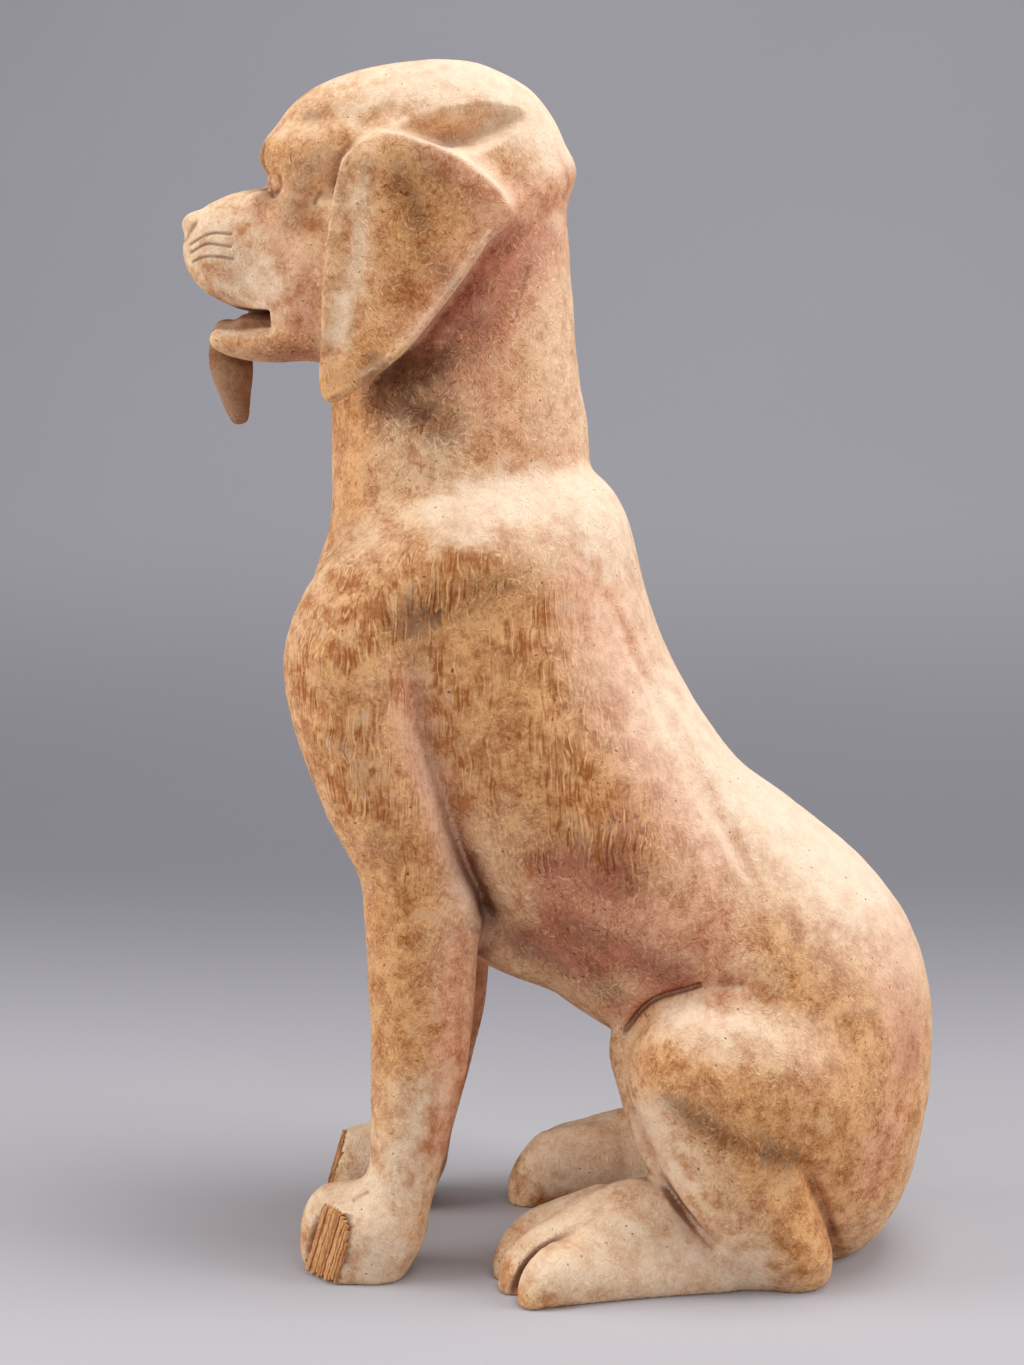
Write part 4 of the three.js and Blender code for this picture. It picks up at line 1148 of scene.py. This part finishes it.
# %% The splinter tree
def splinter_tree(material):
    tree = bpy.data.node_groups.new("splinters", "GeometryNodeTree")
    for name, kind, value in (
        ("Points", "Geometry", None),
        ("Slat width", "Float", 0.0013),
        ("Slat depth", "Float", 0.0044),
        ("Jitter", "Float", 0.0007),
        ("Roughness", "Float", 0.0005),
        ("Seed", "Int", 7),
    ):
        socket = tree.interface.new_socket(name, in_out="INPUT", socket_type="NodeSocket" + kind)
        if value is not None:
            socket.default_value = value
    tree.interface.new_socket("Slats", in_out="OUTPUT", socket_type="NodeSocketGeometry")
    add = Nodes(tree).add
    given = tree.nodes.new("NodeGroupInput").outputs

    def kept(name, kind):
        return add("GeometryNodeInputNamedAttribute", {"Name": name}, data_type=kind)

    layer_up, layer_out = kept("up", "FLOAT_VECTOR"), kept("out", "FLOAT_VECTOR")
    length = kept("length", "FLOAT")

    # Each point moves in or out a little, and keeps a number of its own for its colour
    less = add("ShaderNodeMath", {0: given["Jitter"], 1: -1.0}, operation="MULTIPLY")
    depth = add("FunctionNodeRandomValue", {2: less, 3: given["Jitter"], "Seed": given["Seed"]}, 1,
        data_type="FLOAT")
    out_by = add("ShaderNodeVectorMath", {0: layer_out, "Scale": depth}, operation="SCALE")
    moved = add("GeometryNodeSetPosition", {"Geometry": given["Points"], "Offset": out_by})
    shade = add("FunctionNodeRandomValue", {"Seed": 3}, 1, data_type="FLOAT")
    marked = add("GeometryNodeStoreNamedAttribute",
        {"Geometry": moved, "Name": "shade", "Value": shade}, data_type="FLOAT", domain="POINT")

    # One slat on each point, stood along the layer
    stand = add("FunctionNodeAlignRotationToVector", {"Vector": layer_up}, axis="Z")
    stand = add("FunctionNodeAlignRotationToVector", {"Rotation": stand, "Vector": layer_out},
        axis="Y", pivot_axis="Z")
    slat = add("GeometryNodeMeshCube",
        {"Size": (1, 1, 1), "Vertices X": 3, "Vertices Y": 3, "Vertices Z": 22})
    size = add("ShaderNodeCombineXYZ", {0: given["Slat width"], 1: given["Slat depth"], 2: length})
    placed = add("GeometryNodeInstanceOnPoints",
        {"Points": marked, "Instance": slat, "Rotation": stand, "Scale": size})
    solid = add("GeometryNodeRealizeInstances", {"Geometry": placed})

    # Torn edges
    place = add("GeometryNodeInputPosition")
    stretched = add("ShaderNodeVectorMath", {0: place, 1: (1, 1, 0.3)}, operation="MULTIPLY")
    tear = add("ShaderNodeTexNoise", {"Vector": stretched, "Scale": 620.0, "Detail": 2.0}, "Color")
    tear = add("ShaderNodeVectorMath", {0: tear, 1: (-0.5, -0.5, -0.5)}, operation="ADD")
    twice = add("ShaderNodeMath", {0: given["Roughness"], 1: 2.0}, operation="MULTIPLY")
    tear = add("ShaderNodeVectorMath", {0: tear, "Scale": twice}, operation="SCALE")
    torn = add("GeometryNodeSetPosition", {"Geometry": solid, "Offset": tear})
    dressed = add("GeometryNodeSetMaterial", {"Geometry": torn, "Material": material})
    tree.links.new(dressed, tree.nodes.new("NodeGroupOutput").inputs[0])
    return tree

# %% [markdown]
# Torn wood is cleaner and yellower than the skin and has a fine upright grain. Each slat takes
# its own shade from the number that the tree stored on it.

# %% Splintered wood
def splintered_wood():
    wood = Recipe("splintered_wood")
    at = wood.place()
    streak = wood.noise(wood.scale(at, (1.6, 1.6, 0.12)), 1.0, 3, 0.6)
    speck = wood.noise(at, 1.4, 3, 0.6)
    tone = wood.math("ADD", wood.math("MULTIPLY", wood.painted("shade"), 0.45),
        wood.math("MULTIPLY", wood.band(streak, 0.35, 0.66), 0.55))
    colour = wood.mix(tone, paint(156, 94, 50), paint(236, 178, 122))
    colour = wood.mix(wood.band(speck, 0.52, 0.7, 0, 0.5), colour, paint(116, 64, 32))
    wood.plug(wood.shader.inputs["Base Color"], colour)
    wood.shader.inputs["Roughness"].default_value = 0.8
    wood.shader.inputs["Specular IOR Level"].default_value = 0.2
    wood.bump(streak, 0.7, 0.0005)
    return wood.material

# %% [markdown]
# The points carry each layer's directions and length to the tree. The modifier runs once, and its
# result is kept as a plain mesh, because an export knows nothing of modifiers.

# %% Grow the splinters
middles, ups, outs, lengths = (np.array(column) for column in zip(*layers))
seeds = bpy.data.meshes.new("layer_points")
seeds.from_pydata((middles + CENTRING) * MM, [], [])
for name, values in (("up", ups), ("out", outs)):
    layer = seeds.attributes.new(name, "FLOAT_VECTOR", "POINT")
    layer.data.foreach_set("vector", values.astype(np.float32).ravel())
store(seeds, "length", lengths * MM)
splinters = bpy.data.objects.new("broken_toe_splinters", seeds)
bpy.context.scene.collection.objects.link(splinters)
grower = splinters.modifiers.new("splinters", "NODES")
grower.node_group = splinter_tree(splintered_wood())
sockets = grower.node_group.interface.items_tree
names = {item.name: item.identifier for item in sockets if item.in_out == "INPUT"}
grower[names["Seed"]] = 5
evaluated = splinters.evaluated_get(bpy.context.evaluated_depsgraph_get())
grown = bpy.data.meshes.new_from_object(evaluated)
splinters.modifiers.remove(grower)
splinters.data = grown
print("splinters:", len(grown.polygons), "faces")

# %% [markdown]
# ## Into the frame
#
# The drawing is in millimetres about its own axis. The mesh is scaled to metres and moved to the
# middle of the figure, the object itself stays at the origin, and it takes the place of the plain
# solid.

# %% Hand the carving over
put_points(body, (points + CENTRING) * MM)
print("carving:", len(body.polygons), "triangles, lowest", (points.min(0) + CENTRING).round(2),
    "highest", (points.max(0) + CENTRING).round(2))
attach(dog, "root")
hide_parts("carved_dog")
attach(splinters, "root")
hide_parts("carved_dog")
